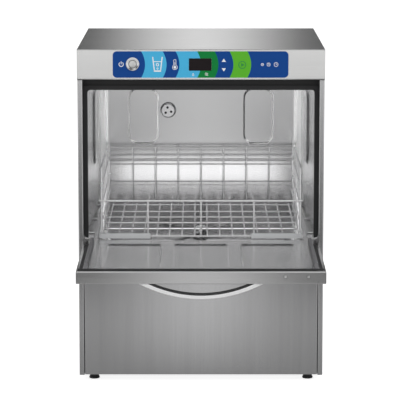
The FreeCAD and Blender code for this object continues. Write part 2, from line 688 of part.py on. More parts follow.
def door_inner_skin():
    """Inside of the door: a pressed sheet with three shallow dishes, and channels for the rubber strip."""
    half = DOOR_HALF - 0.2
    inside = DOOR_HALF - CLAD - 0.1
    sheet = box((-half, half), (SEAL_STRIP[1] + 0.2, -0.2), (DOOR_IN_Z - 1.2, DOOR_IN_Z))
    rim = box((-inside, inside), (SEAL_STRIP[0], SEAL_STRIP[1] + 0.2), (DOOR_IN_Z - 5.2, DOOR_IN_Z - 4.0))
    step = box((-inside, inside), (SEAL_STRIP[1], SEAL_STRIP[1] + 1.2), (DOOR_IN_Z - 5.2, DOOR_IN_Z))
    sheet = fuse([sheet, rim, step])
    depth = 2.6
    for x in (-160.0, 0.0, 160.0):
        wires = [
            rounded_wire((x - 66, x + 66), (-330, -34), 16, on_xy(DOOR_IN_Z + 0.01)),
            rounded_wire((x - 62, x + 62), (-326, -38), 13, on_xy(DOOR_IN_Z - depth)),
        ]
        outside = [
            rounded_wire((x - 67, x + 67), (-331, -33), 17, on_xy(DOOR_IN_Z - 0.6)),
            rounded_wire((x - 63.2, x + 63.2), (-327.2, -36.8), 14, on_xy(DOOR_IN_Z - depth - 1.2)),
        ]
        sheet = sheet.fuse(Part.makeLoft(outside, True, True)).cut(Part.makeLoft(wires, True, True))
    wall = 1.2
    x = (STRIP_ARM[0] - wall, STRIP_ARM[1] + wall)
    trough = box(x, (SEAL_STRIP[1], STRIP_BACK + wall), (DOOR_IN_Z - 4 - wall, DOOR_IN_Z))
    groove = box(STRIP_ARM, (SEAL_STRIP[1] - 1, STRIP_BACK), (DOOR_IN_Z - 4, DOOR_IN_Z + 1))
    sheet = sheet.multiFuse([trough, mirrored(trough)])
    return sheet.cut(Part.makeCompound([groove, mirrored(groove)])).removeSplitter()


def door_seal_strip():
    """Black rubber strip along the inside of the door's free edge and back along both sides."""
    half = DOOR_HALF - 3
    low = DOOR_IN_Z - 4.0
    high = DOOR_IN_Z - 0.6
    front = box((-half, half), (SEAL_STRIP[0] + 0.2, SEAL_STRIP[1] - 0.2), (low, high))
    arm = box((STRIP_ARM[0] + 0.1, STRIP_ARM[1] - 0.1), (SEAL_STRIP[1] - 2, STRIP_BACK - 0.3), (low, high))
    strip = fuse([front, arm, mirrored(arm)])
    ribs = [box((-half - 1, half + 1), (y, y + 3), (high - 1.2, high + 1)) for y in (-382, -373, -364)]
    return strip.cut(Part.makeCompound(ribs))


GUIDE_X = (260.6, 269.2)
GUIDE_TALL = 11.0


def door_guide_right():
    """Raised guide for the rack along one side of the door's inside, with a ramped front end."""
    top = DOOR_IN_Z + GUIDE_TALL
    profile = [(-352, DOOR_IN_Z), (-346, top), (-12, top), (-4, DOOR_IN_Z), (-352, DOOR_IN_Z)]
    wire = Part.makePolygon([Vector(GUIDE_X[0], y, z) for y, z in profile])
    bar = Part.Face(wire).extrude(X_AXIS * (GUIDE_X[1] - GUIDE_X[0]))
    soft = [e for e in bar.Edges if e.BoundBox.ZMin > top - 0.1 and e.BoundBox.YLength > 50]
    return bar.makeFillet(2.4, soft)


HANDLE_Y = (-392.0, -362.0)


def door_handle():
    """Bow handle: a crescent between two arcs that grows out of the door's face and back into it."""
    y0, y1 = HANDLE_Y

    def bow(half, drop):
        """Arc across the door at the handle's outer end, from face to face."""
        left, low, right = (Vector(x, y0, z) for x, z in (
            (-half, DOOR_FACE_Z), (0, DOOR_FACE_Z - drop), (half, DOOR_FACE_Z)))
        return left, right, Part.Arc(left, low, right).toShape()

    outer_left, outer_right, outer = bow(142.0, 35.4)
    inner_left, inner_right, inner = bow(119.0, 26.5)
    root_right = Part.makeLine(outer_right, inner_right)
    root_left = Part.makeLine(inner_left, outer_left)
    crescent = Part.Face(Part.Wire([outer, root_right, inner, root_left])).extrude(Y_AXIS * (y1 - y0))
    soft = [e for e in crescent.Edges if e.BoundBox.YLength < 0.1 and e.BoundBox.ZLength > 10]
    return crescent.makeChamfer(1.0, soft)


def hinge_knuckle_right():
    """Bearing block inside the door's corner, bored for the hinge pin."""
    x = (DOOR_HALF - CLAD - 24, DOOR_HALF - CLAD)
    z = (DOOR_FACE_Z + CLAD + 0.2, DOOR_IN_Z - 1.3)
    block = fuse([box(x, (-30, HINGE_Y), z), pin_hole(x[0], x[1], DOOR_EDGE_R - CLAD - 0.3)])
    return block.cut(pin_hole(x[0] - 1, x[1] + 1, PIN_R + FIT))


BRACKET_X = (STRIP_INNER + CLAD + 0.2, STRIP_INNER + CLAD + 4.2)


def hinge_bracket_right():
    """Steel cheek between side panel and tank flange that holds one hinge pin."""
    outline = [(4, 300), (TUB_FRONT - 1, 300), (TUB_FRONT - 1, 372), (4, 372), (4, 300)]
    outline = [Vector(BRACKET_X[0], y, z) for y, z in outline]
    plate = Part.Face(Part.makePolygon(outline)).extrude(X_AXIS * (BRACKET_X[1] - BRACKET_X[0]))
    soft = [e for e in plate.Edges if e.BoundBox.XLength > 1 and e.BoundBox.YMax < 5]
    plate = plate.makeFillet(8, soft)
    foot_plate = box((BRACKET_X[0], SIDE_OUTER - CLAD - 0.5), (TUB_FRONT - 3, TUB_FRONT), (300, 372))
    return fuse([plate, foot_plate]).cut(pin_hole(BRACKET_X[0] - 1, BRACKET_X[1] + 1, PIN_R))


def hinge_pin_right():
    """Hinge pin pressed into its bracket, with a head outside and a rounded nose in the door."""
    start = DOOR_HALF - CLAD - 23
    end = BRACKET_X[1]
    long = end - start
    head = long + 2.5
    wide = PIN_R + 2
    profile = [(0, 0), (PIN_R - 1, 0), (PIN_R, 1), (PIN_R, long), (wide, long), (wide, head), (0, head)]
    return lathe(profile, Vector(start, HINGE_Y, HINGE_Z), X_AXIS)


# Wire rack

WIRE_Z = RACK_BOTTOM + 1.5 + FRAME_R
WIRE_HALF = RACK_SIZE / 2 - 3.5 - FRAME_R
RACK_Y0 = RACK_FRONT + 3.5 + FRAME_R
RACK_Y1 = RACK_FRONT + RACK_SIZE - 3.5 - FRAME_R
TOUCH = 0.25            # how far crossing wires sink into each other at a weld


def rack_floor():
    """Bottom of the basket: a frame of round wire with a grid welded on top."""
    corner = 14.0
    loop = [
        Vector(0, RACK_Y0, WIRE_Z), Vector(WIRE_HALF, RACK_Y0, WIRE_Z), Vector(WIRE_HALF, RACK_Y1, WIRE_Z),
        Vector(-WIRE_HALF, RACK_Y1, WIRE_Z), Vector(-WIRE_HALF, RACK_Y0, WIRE_Z), Vector(0, RACK_Y0, WIRE_Z),
    ]
    edges = []
    here = loop[0]
    for i in range(1, 5):
        into = loop[i].sub(loop[i - 1]).normalize()
        out = loop[i + 1].sub(loop[i]).normalize()
        first = loop[i].sub(into * corner)
        last = loop[i].add(out * corner)
        centre = first.add(out * corner)
        middle = centre.add(into.sub(out).normalize() * corner)
        edges.append(Part.LineSegment(here, first).toShape())
        edges.append(Part.Arc(first, middle, last).toShape())
        here = last
    edges.append(Part.LineSegment(here, loop[0]).toShape())
    ring = Part.Wire(Part.makeCircle(FRAME_R, loop[0], X_AXIS))
    frame = Part.Wire(edges).makePipeShell([ring], True, False)
    grid_z = WIRE_Z + FRAME_R + GRID_R - TOUCH
    wires = [frame]
    for k in range(-8, 8):
        x = GRID_PITCH * (k + 0.5)
        wires.append(rod(Vector(x, RACK_Y0, grid_z), Vector(x, RACK_Y1, grid_z), GRID_R))
    for k in range(4):
        y = RACK_Y0 + 112 + 88 * k
        wires.append(rod(Vector(-WIRE_HALF, y, WIRE_Z), Vector(WIRE_HALF, y, WIRE_Z), FRAME_R))
    return fuse(wires)


def rack_front():
    """Low front of the basket: a top wire and three uprights."""
    y_post = RACK_Y0
    y_rail = y_post - 2 * FRAME_R + TOUCH
    half = RACK_SIZE / 2
    wires = [rod(Vector(-half, y_rail, RACK_TOP_FRONT), Vector(half, y_rail, RACK_TOP_FRONT), FRAME_R)]
    for x in (-130.0, 0.0, 130.0):
        low = Vector(x, y_post, WIRE_Z + FRAME_R)
        high = Vector(x, y_post, RACK_TOP_FRONT + FRAME_R)
        wires.append(rod(low, high, FRAME_R))
    return fuse(wires)


def rack_rear():
    """High back of the basket: four close wires near the top, one low down, and uprights."""
    low = WIRE_Z + FRAME_R
    inner_y = RACK_Y1 - UPRIGHT_R - GRID_R + TOUCH
    half = WIRE_HALF - FRAME_R
    wires = [rod(Vector(-half, RACK_Y1, RACK_TOP_REAR), Vector(half, RACK_Y1, RACK_TOP_REAR), FRAME_R)]
    for z in (RACK_TOP_REAR - 17, RACK_TOP_REAR - 31, RACK_TOP_REAR - 45, RACK_TOP_REAR - 100):
        wires.append(rod(Vector(-half, inner_y, z), Vector(half, inner_y, z), GRID_R))
    for k in range(-3, 4):
        x = 60.5 * k
        wires.append(rod(Vector(x, RACK_Y1, low), Vector(x, RACK_Y1, RACK_TOP_REAR), UPRIGHT_R))
    return fuse(wires)


def rack_side_right():
    """One side of the basket, with its corner posts: three rails and uprights between them."""
    low = WIRE_Z + FRAME_R
    x = WIRE_HALF
    front = RACK_Y0
    wires = [
        rod(Vector(x, front, low), Vector(x, front, RACK_TOP_SIDE), FRAME_R),
        rod(Vector(x, RACK_Y1, low), Vector(x, RACK_Y1, RACK_TOP_SIDE), FRAME_R),
        rod(Vector(x, front, RACK_TOP_SIDE), Vector(x, RACK_Y1, RACK_TOP_SIDE), FRAME_R),
        Part.makeSphere(FRAME_R, Vector(x, front, RACK_TOP_SIDE)),
        Part.makeSphere(FRAME_R, Vector(x, RACK_Y1, RACK_TOP_SIDE)),
    ]
    inner_x = x - UPRIGHT_R - GRID_R + TOUCH
    for z in (RACK_TOP_SIDE - 32, RACK_TOP_SIDE - 80, RACK_TOP_SIDE - 125):
        wires.append(rod(Vector(inner_x, front, z), Vector(inner_x, RACK_Y1 - 2 * FRAME_R, z), GRID_R))
    for k in range(1, 6):
        y = front + (RACK_Y1 - front) * k / 6
        wires.append(rod(Vector(x, y, low), Vector(x, y, RACK_TOP_SIDE), UPRIGHT_R))
    return fuse(wires)


def rack_skids():
    """Moulded corner strips under the basket's front, with a lip below the frame wire."""
    y0 = RACK_FRONT
    x1 = RACK_SIZE / 2
    front = box((124, x1), (y0, y0 + 3.4), (RACK_BOTTOM, RACK_BOTTOM + 11.5))
    side = box((x1 - 3.4, x1), (y0, y0 + 80), (RACK_BOTTOM, RACK_BOTTOM + 11.5))
    front_lip = box((124, x1), (y0, y0 + 9), (RACK_BOTTOM, RACK_BOTTOM + 1.5))
    side_lip = box((x1 - 9, x1), (y0, y0 + 80), (RACK_BOTTOM, RACK_BOTTOM + 1.5))
    strip = fuse([front, side, front_lip, side_lip])
    soft = [
        e for e in strip.Edges
        if e.BoundBox.ZLength > 5 and e.BoundBox.XMin > x1 - 0.1 and e.BoundBox.YMax < y0 + 0.1
    ]
    strip = strip.makeFillet(3.0, soft)
    return pair(strip)


# Filters, heaters, pumps and plumbing

def filter_half():
    """Right half of the tank filter: a slotted tray over the sump, notched round the spindle."""
    low = TUB_FLOOR + 0.4
    tray = box((0.6, 182), (118, 478), (low, low + 1.2))
    rim = box((0.6, 182), (118, 478), (low, low + 9))
    rim = rim.cut(box((1.8, 180.8), (119.2, 476.8), (low - 1, low + 10)))
    tray = fuse([tray, rim])
    cuts = [rod(Vector(0, ARM_Y, low - 2), Vector(0, ARM_Y, low + 12), 27)]
    for column in range(4):
        for row in range(12):
            x = 36 + 36 * column
            y = 140 + 26 * row
            if (x - 13) ** 2 + (y + 6 - ARM_Y) ** 2 > 34 ** 2:
                cuts.append(box((x - 13, x + 13), (y, y + 11), (low - 1, low + 2)))
    return tray.cut(Part.makeCompound(cuts))


def filter_left():
    notch = rod(Vector(DRAIN.x, DRAIN.y, TUB_FLOOR - 5), Vector(DRAIN.x, DRAIN.y, TUB_FLOOR + 15), 19)
    return mirrored(filter_half()).cut(notch)


def overflow_pipe():
    """Lift-out standpipe: its foot plugs the drain, its open top sets the water level."""
    rim = 74.0
    top = 81.0              # the pull bow stays below the wash arm
    outside = [
        (11, -4), (15.2, -4), (15.2, 2), (18, 2), (18, 6), (14, 8), (14, rim), (11, rim),
    ]
    pipe = lathe(outside, DRAIN, Z_AXIS)
    route = [(-12.5, rim - 8), (-12.5, top), (12.5, top), (12.5, rim - 8)]
    bow = tube([DRAIN.add(Vector(x, 0, z)) for x, z in route], 2.0, 0, 9)
    return fuse([pipe, bow])


def tank_heater():
    """Heating element: one hairpin of sheathed rod on two glands through the sump's back wall."""
    x0, x1 = HEATER_X
    wall_y = 472
    points = [
        Vector(x0, wall_y, HEATER_Z), Vector(x0, 205, HEATER_Z), Vector(x1 + 50, 205, HEATER_Z),
        Vector(x1 + 50, 260, HEATER_Z), Vector(x1, 260, HEATER_Z), Vector(x1, wall_y, HEATER_Z),
    ]
    return tube(points, 4.2, 0, 14)


def suction_strainer():
    """Slotted cup over the pump's suction hole."""
    body = lathe([(0, 1.0), (20, 1.0), (20, 40), (16, 44), (0, 44)], SUCTION, Z_AXIS)
    body = body.cut(rod(SUCTION.add(Z_AXIS * 0.5), SUCTION.add(Z_AXIS * 41), 18.6))
    cuts = []
    for k in range(6):
        angle = math.pi * k / 6
        way = Vector(math.cos(angle), math.sin(angle), 0)
        side = Vector(-math.sin(angle), math.cos(angle), 0)
        corner = SUCTION.sub(way * 24).sub(side * 2.5).add(Z_AXIS * 8)
        blade = Part.makeBox(48, 5, 26)
        blade.rotate(Vector(0, 0, 0), Z_AXIS, math.degrees(angle))
        blade.translate(corner)
        cuts.append(blade)
    return body.cut(Part.makeCompound(cuts))


BOILER = Vector(-200, 180, 100)
BOILER_R = 68.0
BOILER_LONG = 300.0


def boiler():
    """Rinse water boiler: a cylinder with dished ends on two saddles, with inlet and outlet stubs."""
    wall = 1.5

    def dished(shrink):
        radius = BOILER_R - shrink
        cap = 22.0 - shrink
        angles = [math.pi / 12 * k for k in range(6, -1, -1)]
        front = [(radius * math.cos(a), -cap * math.sin(a)) for a in angles]
        back = [(r, BOILER_LONG - h) for r, h in reversed(front)]
        return lathe(front + back, BOILER, Y_AXIS)

    saddles = [box((-240, -160), (y, y + 18), (TRAY_TOP, 62)) for y in (210, 420)]
    outlet = rod(Vector(-200, 260, 150), Vector(-200, 260, 176), 9)
    inlet = rod(Vector(-200, 490, 100), Vector(-200, 516, 100), 9)
    bores = [
        rod(Vector(-200, 260, 140), Vector(-200, 260, 177), 6),
        rod(Vector(-200, 470, 100), Vector(-200, 517, 100), 6),
    ]
    return fuse([dished(0), outlet, inlet] + saddles).cut(dished(wall)).cut(Part.makeCompound(bores))


def boiler_heater():
    """Flanged heater that screws into the boiler's front end."""
    nose = BOILER.y - 22
    base = Vector(BOILER.x, nose, BOILER.z)
    flange = lathe([(0, 0), (26, 0), (26, -9), (20, -12), (0, -12)], base, Y_AXIS)
    pins = [
        rod(Vector(BOILER.x + dx, nose - 10, BOILER.z), Vector(BOILER.x + dx, nose - 30, BOILER.z), 3)
        for dx in (-10, 10)
    ]
    return fuse([flange] + pins)


PUMP = Vector(90, 300, 110)


def wash_pump():
    """Pump casing: a snail with an axial inlet and an outlet that points up, and a second one to the back."""
    case = rod(PUMP.sub(X_AXIS * 20), PUMP.add(X_AXIS * 20), 52)
    riser = rod(Vector(90, 340, 110), Vector(90, 340, 156), 14)
    rear = rod(Vector(90, 310, 78), Vector(90, 360, 78), 14)
    inlet = rod(PUMP.sub(X_AXIS * 20), PUMP.sub(X_AXIS * 26), 17)
    bend = rod(PUMP.sub(X_AXIS * 14), PUMP.add(X_AXIS * 14), 62)
    corner = box((76, 104), (300, 350), (110, 146)).common(bend)
    return fuse([case, riser, rear, inlet, corner])


def pump_motor():
    """Motor of the wash pump, with a finned shell and a foot on the tray."""
    base = PUMP.add(X_AXIS * 20)
    profile = [(0, 0), (44, 0)]
    for k in range(6):
        start = 14 + 18 * k
        profile += [(44, start), (50, start), (50, start + 9), (44, start + 9)]
    profile += [(44, 122), (47, 124), (47, 140), (38, 148), (0, 148)]
    body = lathe(profile, base, X_AXIS)
    rest = box((130, 230), (272, 328), (TRAY_TOP, TRAY_TOP + 3))
    legs = [box((x, x + 5), (280, 320), (TRAY_TOP, 72)) for x in (150, 205)]
    return fuse([body, rest] + legs)


DRAIN_PUMP_TOP = 96.0


def drain_pump():
    """Small drain pump under the sump's outlet, with its motor lying to the front."""
    case = rod(Vector(-90, 385, 66), Vector(-90, 415, 66), 30)
    inlet = rod(Vector(-90, 400, 66), Vector(-90, 400, DRAIN_PUMP_TOP + 6), 16)
    motor = rod(Vector(-90, 318, 66), Vector(-90, 385, 66), 23)
    outlet = rod(Vector(-90, 415, 48), Vector(-90, 432, 48), 12)
    rest = box((-112, -68), (330, 400), (TRAY_TOP, 40))
    return fuse([case, inlet, motor, outlet, rest])


def dosing_pump(x):
    """Peristaltic dosing pump: gearmotor, square plate and round roller head."""
    centre = Vector(x, 64, 105)
    motor = rod(centre.add(Y_AXIS * 8), centre.add(Y_AXIS * 52), 20)
    plate = box((x - 30, x + 30), (70, 72.5), (75, 135))
    head = lathe([(0, 6), (24, 6), (24, -14), (21, -18), (0, -18)], centre, Y_AXIS)
    ports = [rod(centre.add(Vector(dx, -8, -22)), centre.add(Vector(dx, -8, -34)), 3.2) for dx in (-11, 11)]
    return fuse([motor, plate, head] + ports)


def dosing_bracket():
    """Folded bracket on the tray that carries both dosing pumps."""
    section = [(40, TRAY_TOP), (74.1, TRAY_TOP), (74.1, 138)]
    plate = fold(section, 1.5, on_yz(-60), X_AXIS * 130, radii=[2])
    cuts = [rod(Vector(x, 60, 105), Vector(x, 90, 105), 20.6) for x in DOSING_X]
    return plate.cut(Part.makeCompound(cuts))


def inlet_valve():
    """Solenoid valve in line with the boiler; its threaded nipple passes through the rear panel."""
    body = rod(Vector(-200, 540, 100), Vector(-200, 576, 100), 14)
    inlet = rod(Vector(-200, 516, 100), Vector(-200, 540, 100), 11)
    collar = rod(Vector(-200, 576, 100), Vector(-200, REAR_INNER, 100), 17)
    neck = rod(Vector(-200, REAR_INNER, 100), Vector(-200, PORT_ROOT, 100), INLET_R - 0.5)
    nipple = rod(Vector(-200, PORT_ROOT, 100), Vector(-200, DEPTH + REAR_PORT, 100), INLET_R)
    bore = rod(Vector(-200, 570, 100), Vector(-200, DEPTH + REAR_PORT + 1, 100), 9.5)
    coil = box((-218, -182), (544, 572), (112, 146))
    return fuse([body, inlet, collar, neck, nipple, coil]).cut(bore)


def drain_spigot():
    """Hose barb for the waste hose, flanged against the inside of the rear panel."""
    root = PORT_ROOT - SPIGOT_PORT.y
    tip = DEPTH + REAR_PORT - SPIGOT_PORT.y
    profile = [
        (10.5, -16), (13.5, -16), (13.5, -6), (20, -6), (20, 0), (SPIGOT_R - 0.5, 0),
        (SPIGOT_R - 0.5, root), (SPIGOT_R, root), (SPIGOT_R, tip), (10.5, tip),
    ]
    return lathe(profile, SPIGOT_PORT, Y_AXIS)


def cable_gland():
    """Gland for the supply cable: nut inside, dome outside, open bore."""
    profile = [
        (6, -12), (10, -12), (15, -11), (15, 0), (GLAND_R, 0), (GLAND_R, 1.0), (15, 1.0), (15, 8),
        (13, 15), (9, 18), (6, 18),
    ]
    return lathe(profile, GLAND_PORT, Y_AXIS)


def terminal_block():
    """Mains terminal block on the tray, near the gland."""
    base = box((165, 240), (500, 530), (TRAY_TOP, TRAY_TOP + 26))
    well = TRAY_TOP + 14
    wells = [rod(Vector(x, 515, well), Vector(x, 515, well + 16), 4) for x in (178, 194, 210, 226)]
    return base.cut(Part.makeCompound(wells))


FEED_Z = SUMP_FLOOR - TANK_SHEET - 16


def pump_hoses():
    """Rubber hoses: sump to pump, pump to lower spindle, and boiler to lower spindle."""
    suction = [
        Vector(50, 230, SUMP_FLOOR - TANK_SHEET), Vector(50, 230, 110), Vector(50, 300, 110),
        Vector(64, 300, 110),
    ]
    pressure = [
        Vector(90, 340, 156), Vector(90, 340, FEED_Z), Vector(90, ARM_Y, FEED_Z), Vector(22, ARM_Y, FEED_Z),
    ]
    rinse = [
        Vector(-200, 260, 176), Vector(-200, 260, FEED_Z + 12), Vector(-150, 276, FEED_Z + 4),
        Vector(-80, ARM_Y, FEED_Z), Vector(-22, ARM_Y, FEED_Z),
    ]
    return Part.makeCompound([
        tube(suction, 13, 10, 13.5), tube(pressure, 11, 8, 15), tube(rinse, 8, 5.5, 11),
    ])


def upper_feed_pipe():
    """Pipe from the pump, up behind the tank and over its roof to the upper spindle."""
    route = [
        Vector(90, 360, 78), Vector(90, 580, 78), Vector(90, 580, 786), Vector(0, ARM_Y, 786),
        Vector(0, ARM_Y, TUB_ROOF + TANK_SHEET),
    ]
    return tube(route, 12, 10, 18)


def sleeve(start, end, radius, bore):
    """Short straight hose."""
    return rod(start, end, radius).cut(rod(start, end, bore))


def drain_hoses():
    """Short hoses from the sump to the drain pump and from the pump to the spigot."""
    upper = sleeve(Vector(-90, 400, SUMP_FLOOR - 4.2), Vector(-90, 400, DRAIN_PUMP_TOP + 6), 19, 16)
    lower = sleeve(Vector(-90, 432, 48), Vector(-90, REAR_INNER - 16, 48), 12, 9)
    return Part.makeCompound([upper, lower])


def door_switch():
    """Magnetic door switch behind the top of the tank's flange."""
    return box((200, 240), (TUB_FRONT + TANK_SHEET, TUB_FRONT + 14), (728, 744))


def rear_screws():
    """Pan-head screws round the rear panel."""
    spots = [(sx * 288, z) for sx in (-1, 1) for z in (60, 300, 540, 770)]
    profile = [(0, 0), (4, 0), (4, 1.4), (2.6, 2.4), (0, 2.4)]
    heads = [lathe(profile, Vector(x, REAR_INNER + CLAD, z), Y_AXIS) for x, z in spots]
    return Part.makeCompound(heads)


# All pieces

def build():
    os.makedirs("parts", exist_ok=True)
    left = side_panel_left()
    save("side_panel_left", left)
    save("side_panel_right", mirrored(left))
    save("rear_panel", rear_panel())
    save("rear_screws", rear_screws())
    save("top_cover", top_cover())
    save("control_fascia", control_fascia())
    save("control_overlay", control_overlay())
    save("display_window", display_window())
    save("button_bezel", button_bezel())
    save("power_button", power_button())
    save("power_switch", power_switch())
    save("control_board", control_board())
    for name, spot in KEYS.items():
        save(name, key_plunger(spot))
    save("front_panel", front_panel())
    save("door_buffers", door_buffers())
    save("base_tray", base_tray())
    save("feet", Part.makeCompound([foot(x, y) for x, y in FEET]))

    save("wash_tank", wash_tank())
    save("door_seal", door_seal())
    save("wall_boss", wall_boss())
    save("rack_rails", pair(rack_rail_right()))
    save("door_switch", door_switch())

    save("lower_spindle", spindle(SUMP_FLOOR, LOWER_SHOULDER, 338, 30))
    save("lower_wash_arm", spray_arm(LOWER_SHOULDER + 2, LOWER_SHOULDER + 22, SHAFT_R + FIT))
    save("lower_rinse_arm", rinse_arm(LOWER_SHOULDER + 26, LOWER_SHOULDER + 40, SHAFT_R + FIT))
    save("upper_spindle", spindle(TUB_ROOF, UPPER_SHOULDER, 700, 0))
    save("upper_wash_arm", spray_arm(UPPER_SHOULDER - 2, UPPER_SHOULDER - 22, SHAFT_R + FIT))
    save("upper_rinse_arm", rinse_arm(UPPER_SHOULDER - 26, UPPER_SHOULDER - 40, SHAFT_R + FIT))

    save("door_outer_skin", door_outer_skin())
    save("door_inner_skin", door_inner_skin())
    save("door_seal_strip", door_seal_strip())
    save("door_guides", pair(door_guide_right()))
    save("door_handle", door_handle())
    save("hinge_knuckles", pair(hinge_knuckle_right()))
    save("hinge_brackets", pair(hinge_bracket_right()))
    save("hinge_pins", pair(hinge_pin_right()))

    save("rack_floor", rack_floor())
    save("rack_front", rack_front())
    save("rack_rear", rack_rear())
    save("rack_sides", pair(rack_side_right()))
    save("rack_skids", rack_skids())

    save("tank_filters", Part.makeCompound([filter_half(), filter_left()]))
    save("overflow_pipe", overflow_pipe())
    save("tank_heater", tank_heater())
    save("suction_strainer", suction_strainer())
    save("boiler", boiler())
    save("boiler_heater", boiler_heater())
    save("wash_pump", wash_pump())
    save("pump_motor", pump_motor())
    save("drain_pump", drain_pump())
    save("dosing_pumps", Part.makeCompound([dosing_pump(x) for x in DOSING_X]))
    save("inlet_valve", inlet_valve())
    save("drain_spigot", drain_spigot())
    save("cable_gland", cable_gland())
    save("terminal_block", terminal_block())
    save("pump_hoses", pump_hoses())
    save("upper_feed_pipe", upper_feed_pipe())
    save("drain_hoses", drain_hoses())


build()
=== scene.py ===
# %% [markdown]
# # Glass washer with its door let down
#
# An under-counter glass washer is a box of folded stainless steel round a pressed wash tank. Here the
# CAD model brings every piece at its real size and place, and this lesson gives each one its finish,
# adds the printed symbols of the control film and sets up a plain photo studio round it.
# Everything is in metres. The front of the machine looks along -Y, and Z points up.

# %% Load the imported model
import math

import bmesh
import bpy
from mathutils import Matrix, Vector


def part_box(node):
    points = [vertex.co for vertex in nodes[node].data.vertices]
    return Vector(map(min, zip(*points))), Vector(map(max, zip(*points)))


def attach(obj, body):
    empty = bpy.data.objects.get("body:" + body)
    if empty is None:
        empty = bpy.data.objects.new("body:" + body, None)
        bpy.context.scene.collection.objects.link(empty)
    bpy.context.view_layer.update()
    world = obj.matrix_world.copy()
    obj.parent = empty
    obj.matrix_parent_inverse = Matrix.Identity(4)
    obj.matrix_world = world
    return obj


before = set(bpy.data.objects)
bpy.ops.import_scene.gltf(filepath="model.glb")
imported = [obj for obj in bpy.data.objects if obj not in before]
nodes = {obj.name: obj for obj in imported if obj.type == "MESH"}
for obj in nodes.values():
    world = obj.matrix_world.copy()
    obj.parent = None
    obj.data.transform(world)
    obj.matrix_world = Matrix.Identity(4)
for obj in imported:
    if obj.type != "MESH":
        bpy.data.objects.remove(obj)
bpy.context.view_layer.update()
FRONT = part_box("front_panel")[0].y
BACK_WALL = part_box("wash_tank")[1].y
DOOR_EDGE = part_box("door_outer_skin")[0].y
print("cabinet front at y =", round(FRONT, 4))
print("back wall of the tank at y =", round(BACK_WALL, 4))
print("edge of the open door at y =", round(DOOR_EDGE, 4))

# %% [markdown]
# ## Camera
#
# The machine is seen from straight in front and from well above it, with a long lens, so its sides
# close in only a little towards the back. The distance comes from how much narrower the back edge of
# the top cover looks than its front edge. The camera is tipped down rather than shifted, because a
# shifted lens would put the object off the frame in every other view.

# %% Camera in front of the machine
VIEW_DISTANCE = 5.624
VIEW_HEIGHT = 1.346
TIPPED_DOWN = 9.03
view = bpy.data.cameras.new("front_view")
view.sensor_width = 36
view.lens = 210.6
camera = bpy.data.objects.new("front_view", view)
camera.location = (-0.0024, FRONT - VIEW_DISTANCE, VIEW_HEIGHT)
camera.rotation_euler = (math.radians(90 - TIPPED_DOWN), 0, 0)
bpy.context.scene.collection.objects.link(camera)
bpy.context.scene.camera = camera
bpy.context.scene.view_settings.view_transform = "Standard"
print("camera", [round(x, 3) for x in camera.location], "lens", view.lens, "mm")

# %% [markdown]
# ## Small helpers
#
# Every finish below is a small tree of nodes. Placing a node, setting its values and joining its
# inputs is always the same work, so one helper does it: an input gets a number, a colour or the
# output of another node. Sums, ranges and mixed colours are so common that each has its own.

# %% Helpers for shader nodes
def put(tree, kind, inputs=None, **settings):
    """One shader node in a tree, with its settings and its inputs."""
    node = tree.nodes.new(kind)
    for name, value in settings.items():
        setattr(node, name, value)
    for name, value in (inputs or {}).items():
        if isinstance(value, bpy.types.NodeSocket):
            tree.links.new(value, node.inputs[name])
        else:
            node.inputs[name].default_value = value
    return node


def calc(tree, operation, *values):
    """The result of a sum on up to three values."""
    return put(tree, "ShaderNodeMath", dict(enumerate(values)), operation=operation).outputs[0]


def rescale(tree, value, start, end, low=0.0, high=1.0, **settings):
    """A value that runs from start to end, carried over to low and high and kept between them."""
    inputs = {"Value": value, "From Min": start, "From Max": end, "To Min": low, "To Max": high}
    return put(tree, "ShaderNodeMapRange", inputs, **settings).outputs[0]


def mix(tree, share, first, second):
    """The colour between two colours: share 0 gives the first and 1 the second."""
    inputs = {"Factor": share, "A": first, "B": second}
    return put(tree, "ShaderNodeMix", inputs, data_type="RGBA").outputs[2]


def object_place(tree, kind="Object"):
    """The X, Y and Z of a point on the object, or with kind Normal the way its surface faces."""
    place = put(tree, "ShaderNodeTexCoord")
    return put(tree, "ShaderNodeSeparateXYZ", {0: place.outputs[kind]}).outputs


print("node helpers ready")

# %% [markdown]
# Three more helpers start a finish, start a group of nodes that several finishes share, and turn
# modelled faces into a piece.

# %% Helpers for finishes, groups and pieces
NUMBER = "NodeSocketFloat"
VECTOR = "NodeSocketVector"


def start_finish(name, **plain):
    """A material with its Principled shader; plain gives the values that are the same all over."""
    finish = bpy.data.materials.new(name)
    finish.use_nodes = True
    shader = finish.node_tree.nodes["Principled BSDF"]
    for socket, value in plain.items():
        shader.inputs[socket.replace("_", " ")].default_value = value
    return finish, finish.node_tree, shader


def start_group(name, inputs, outputs):
    """An empty node group with its named sockets, and its two end nodes."""
    group = bpy.data.node_groups.new(name, "ShaderNodeTree")
    for title, kind, value in inputs:
        group.interface.new_socket(name=title, in_out="INPUT", socket_type=kind).default_value = value
    for title, kind in outputs:
        group.interface.new_socket(name=title, in_out="OUTPUT", socket_type=kind)
    return group, group.nodes.new("NodeGroupInput"), group.nodes.new("NodeGroupOutput")


def make_piece(name, bm, finish):
    """A new object from modelled faces, with one finish."""
    mesh = bpy.data.meshes.new(name)
    bm.to_mesh(mesh)
    bm.free()
    mesh.materials.append(finish)
    piece = bpy.data.objects.new(name, mesh)
    bpy.context.scene.collection.objects.link(piece)
    print(name, "has", len(mesh.polygons), "faces")
    return piece


print("finish, group and piece helpers ready")

# %% [markdown]
# ## Studio
#
# The machine stands on a plain white floor that runs into a white surround. The camera, bright metal
# and glass all see that surround as plain white. The floor takes a soft shadow close to the feet.

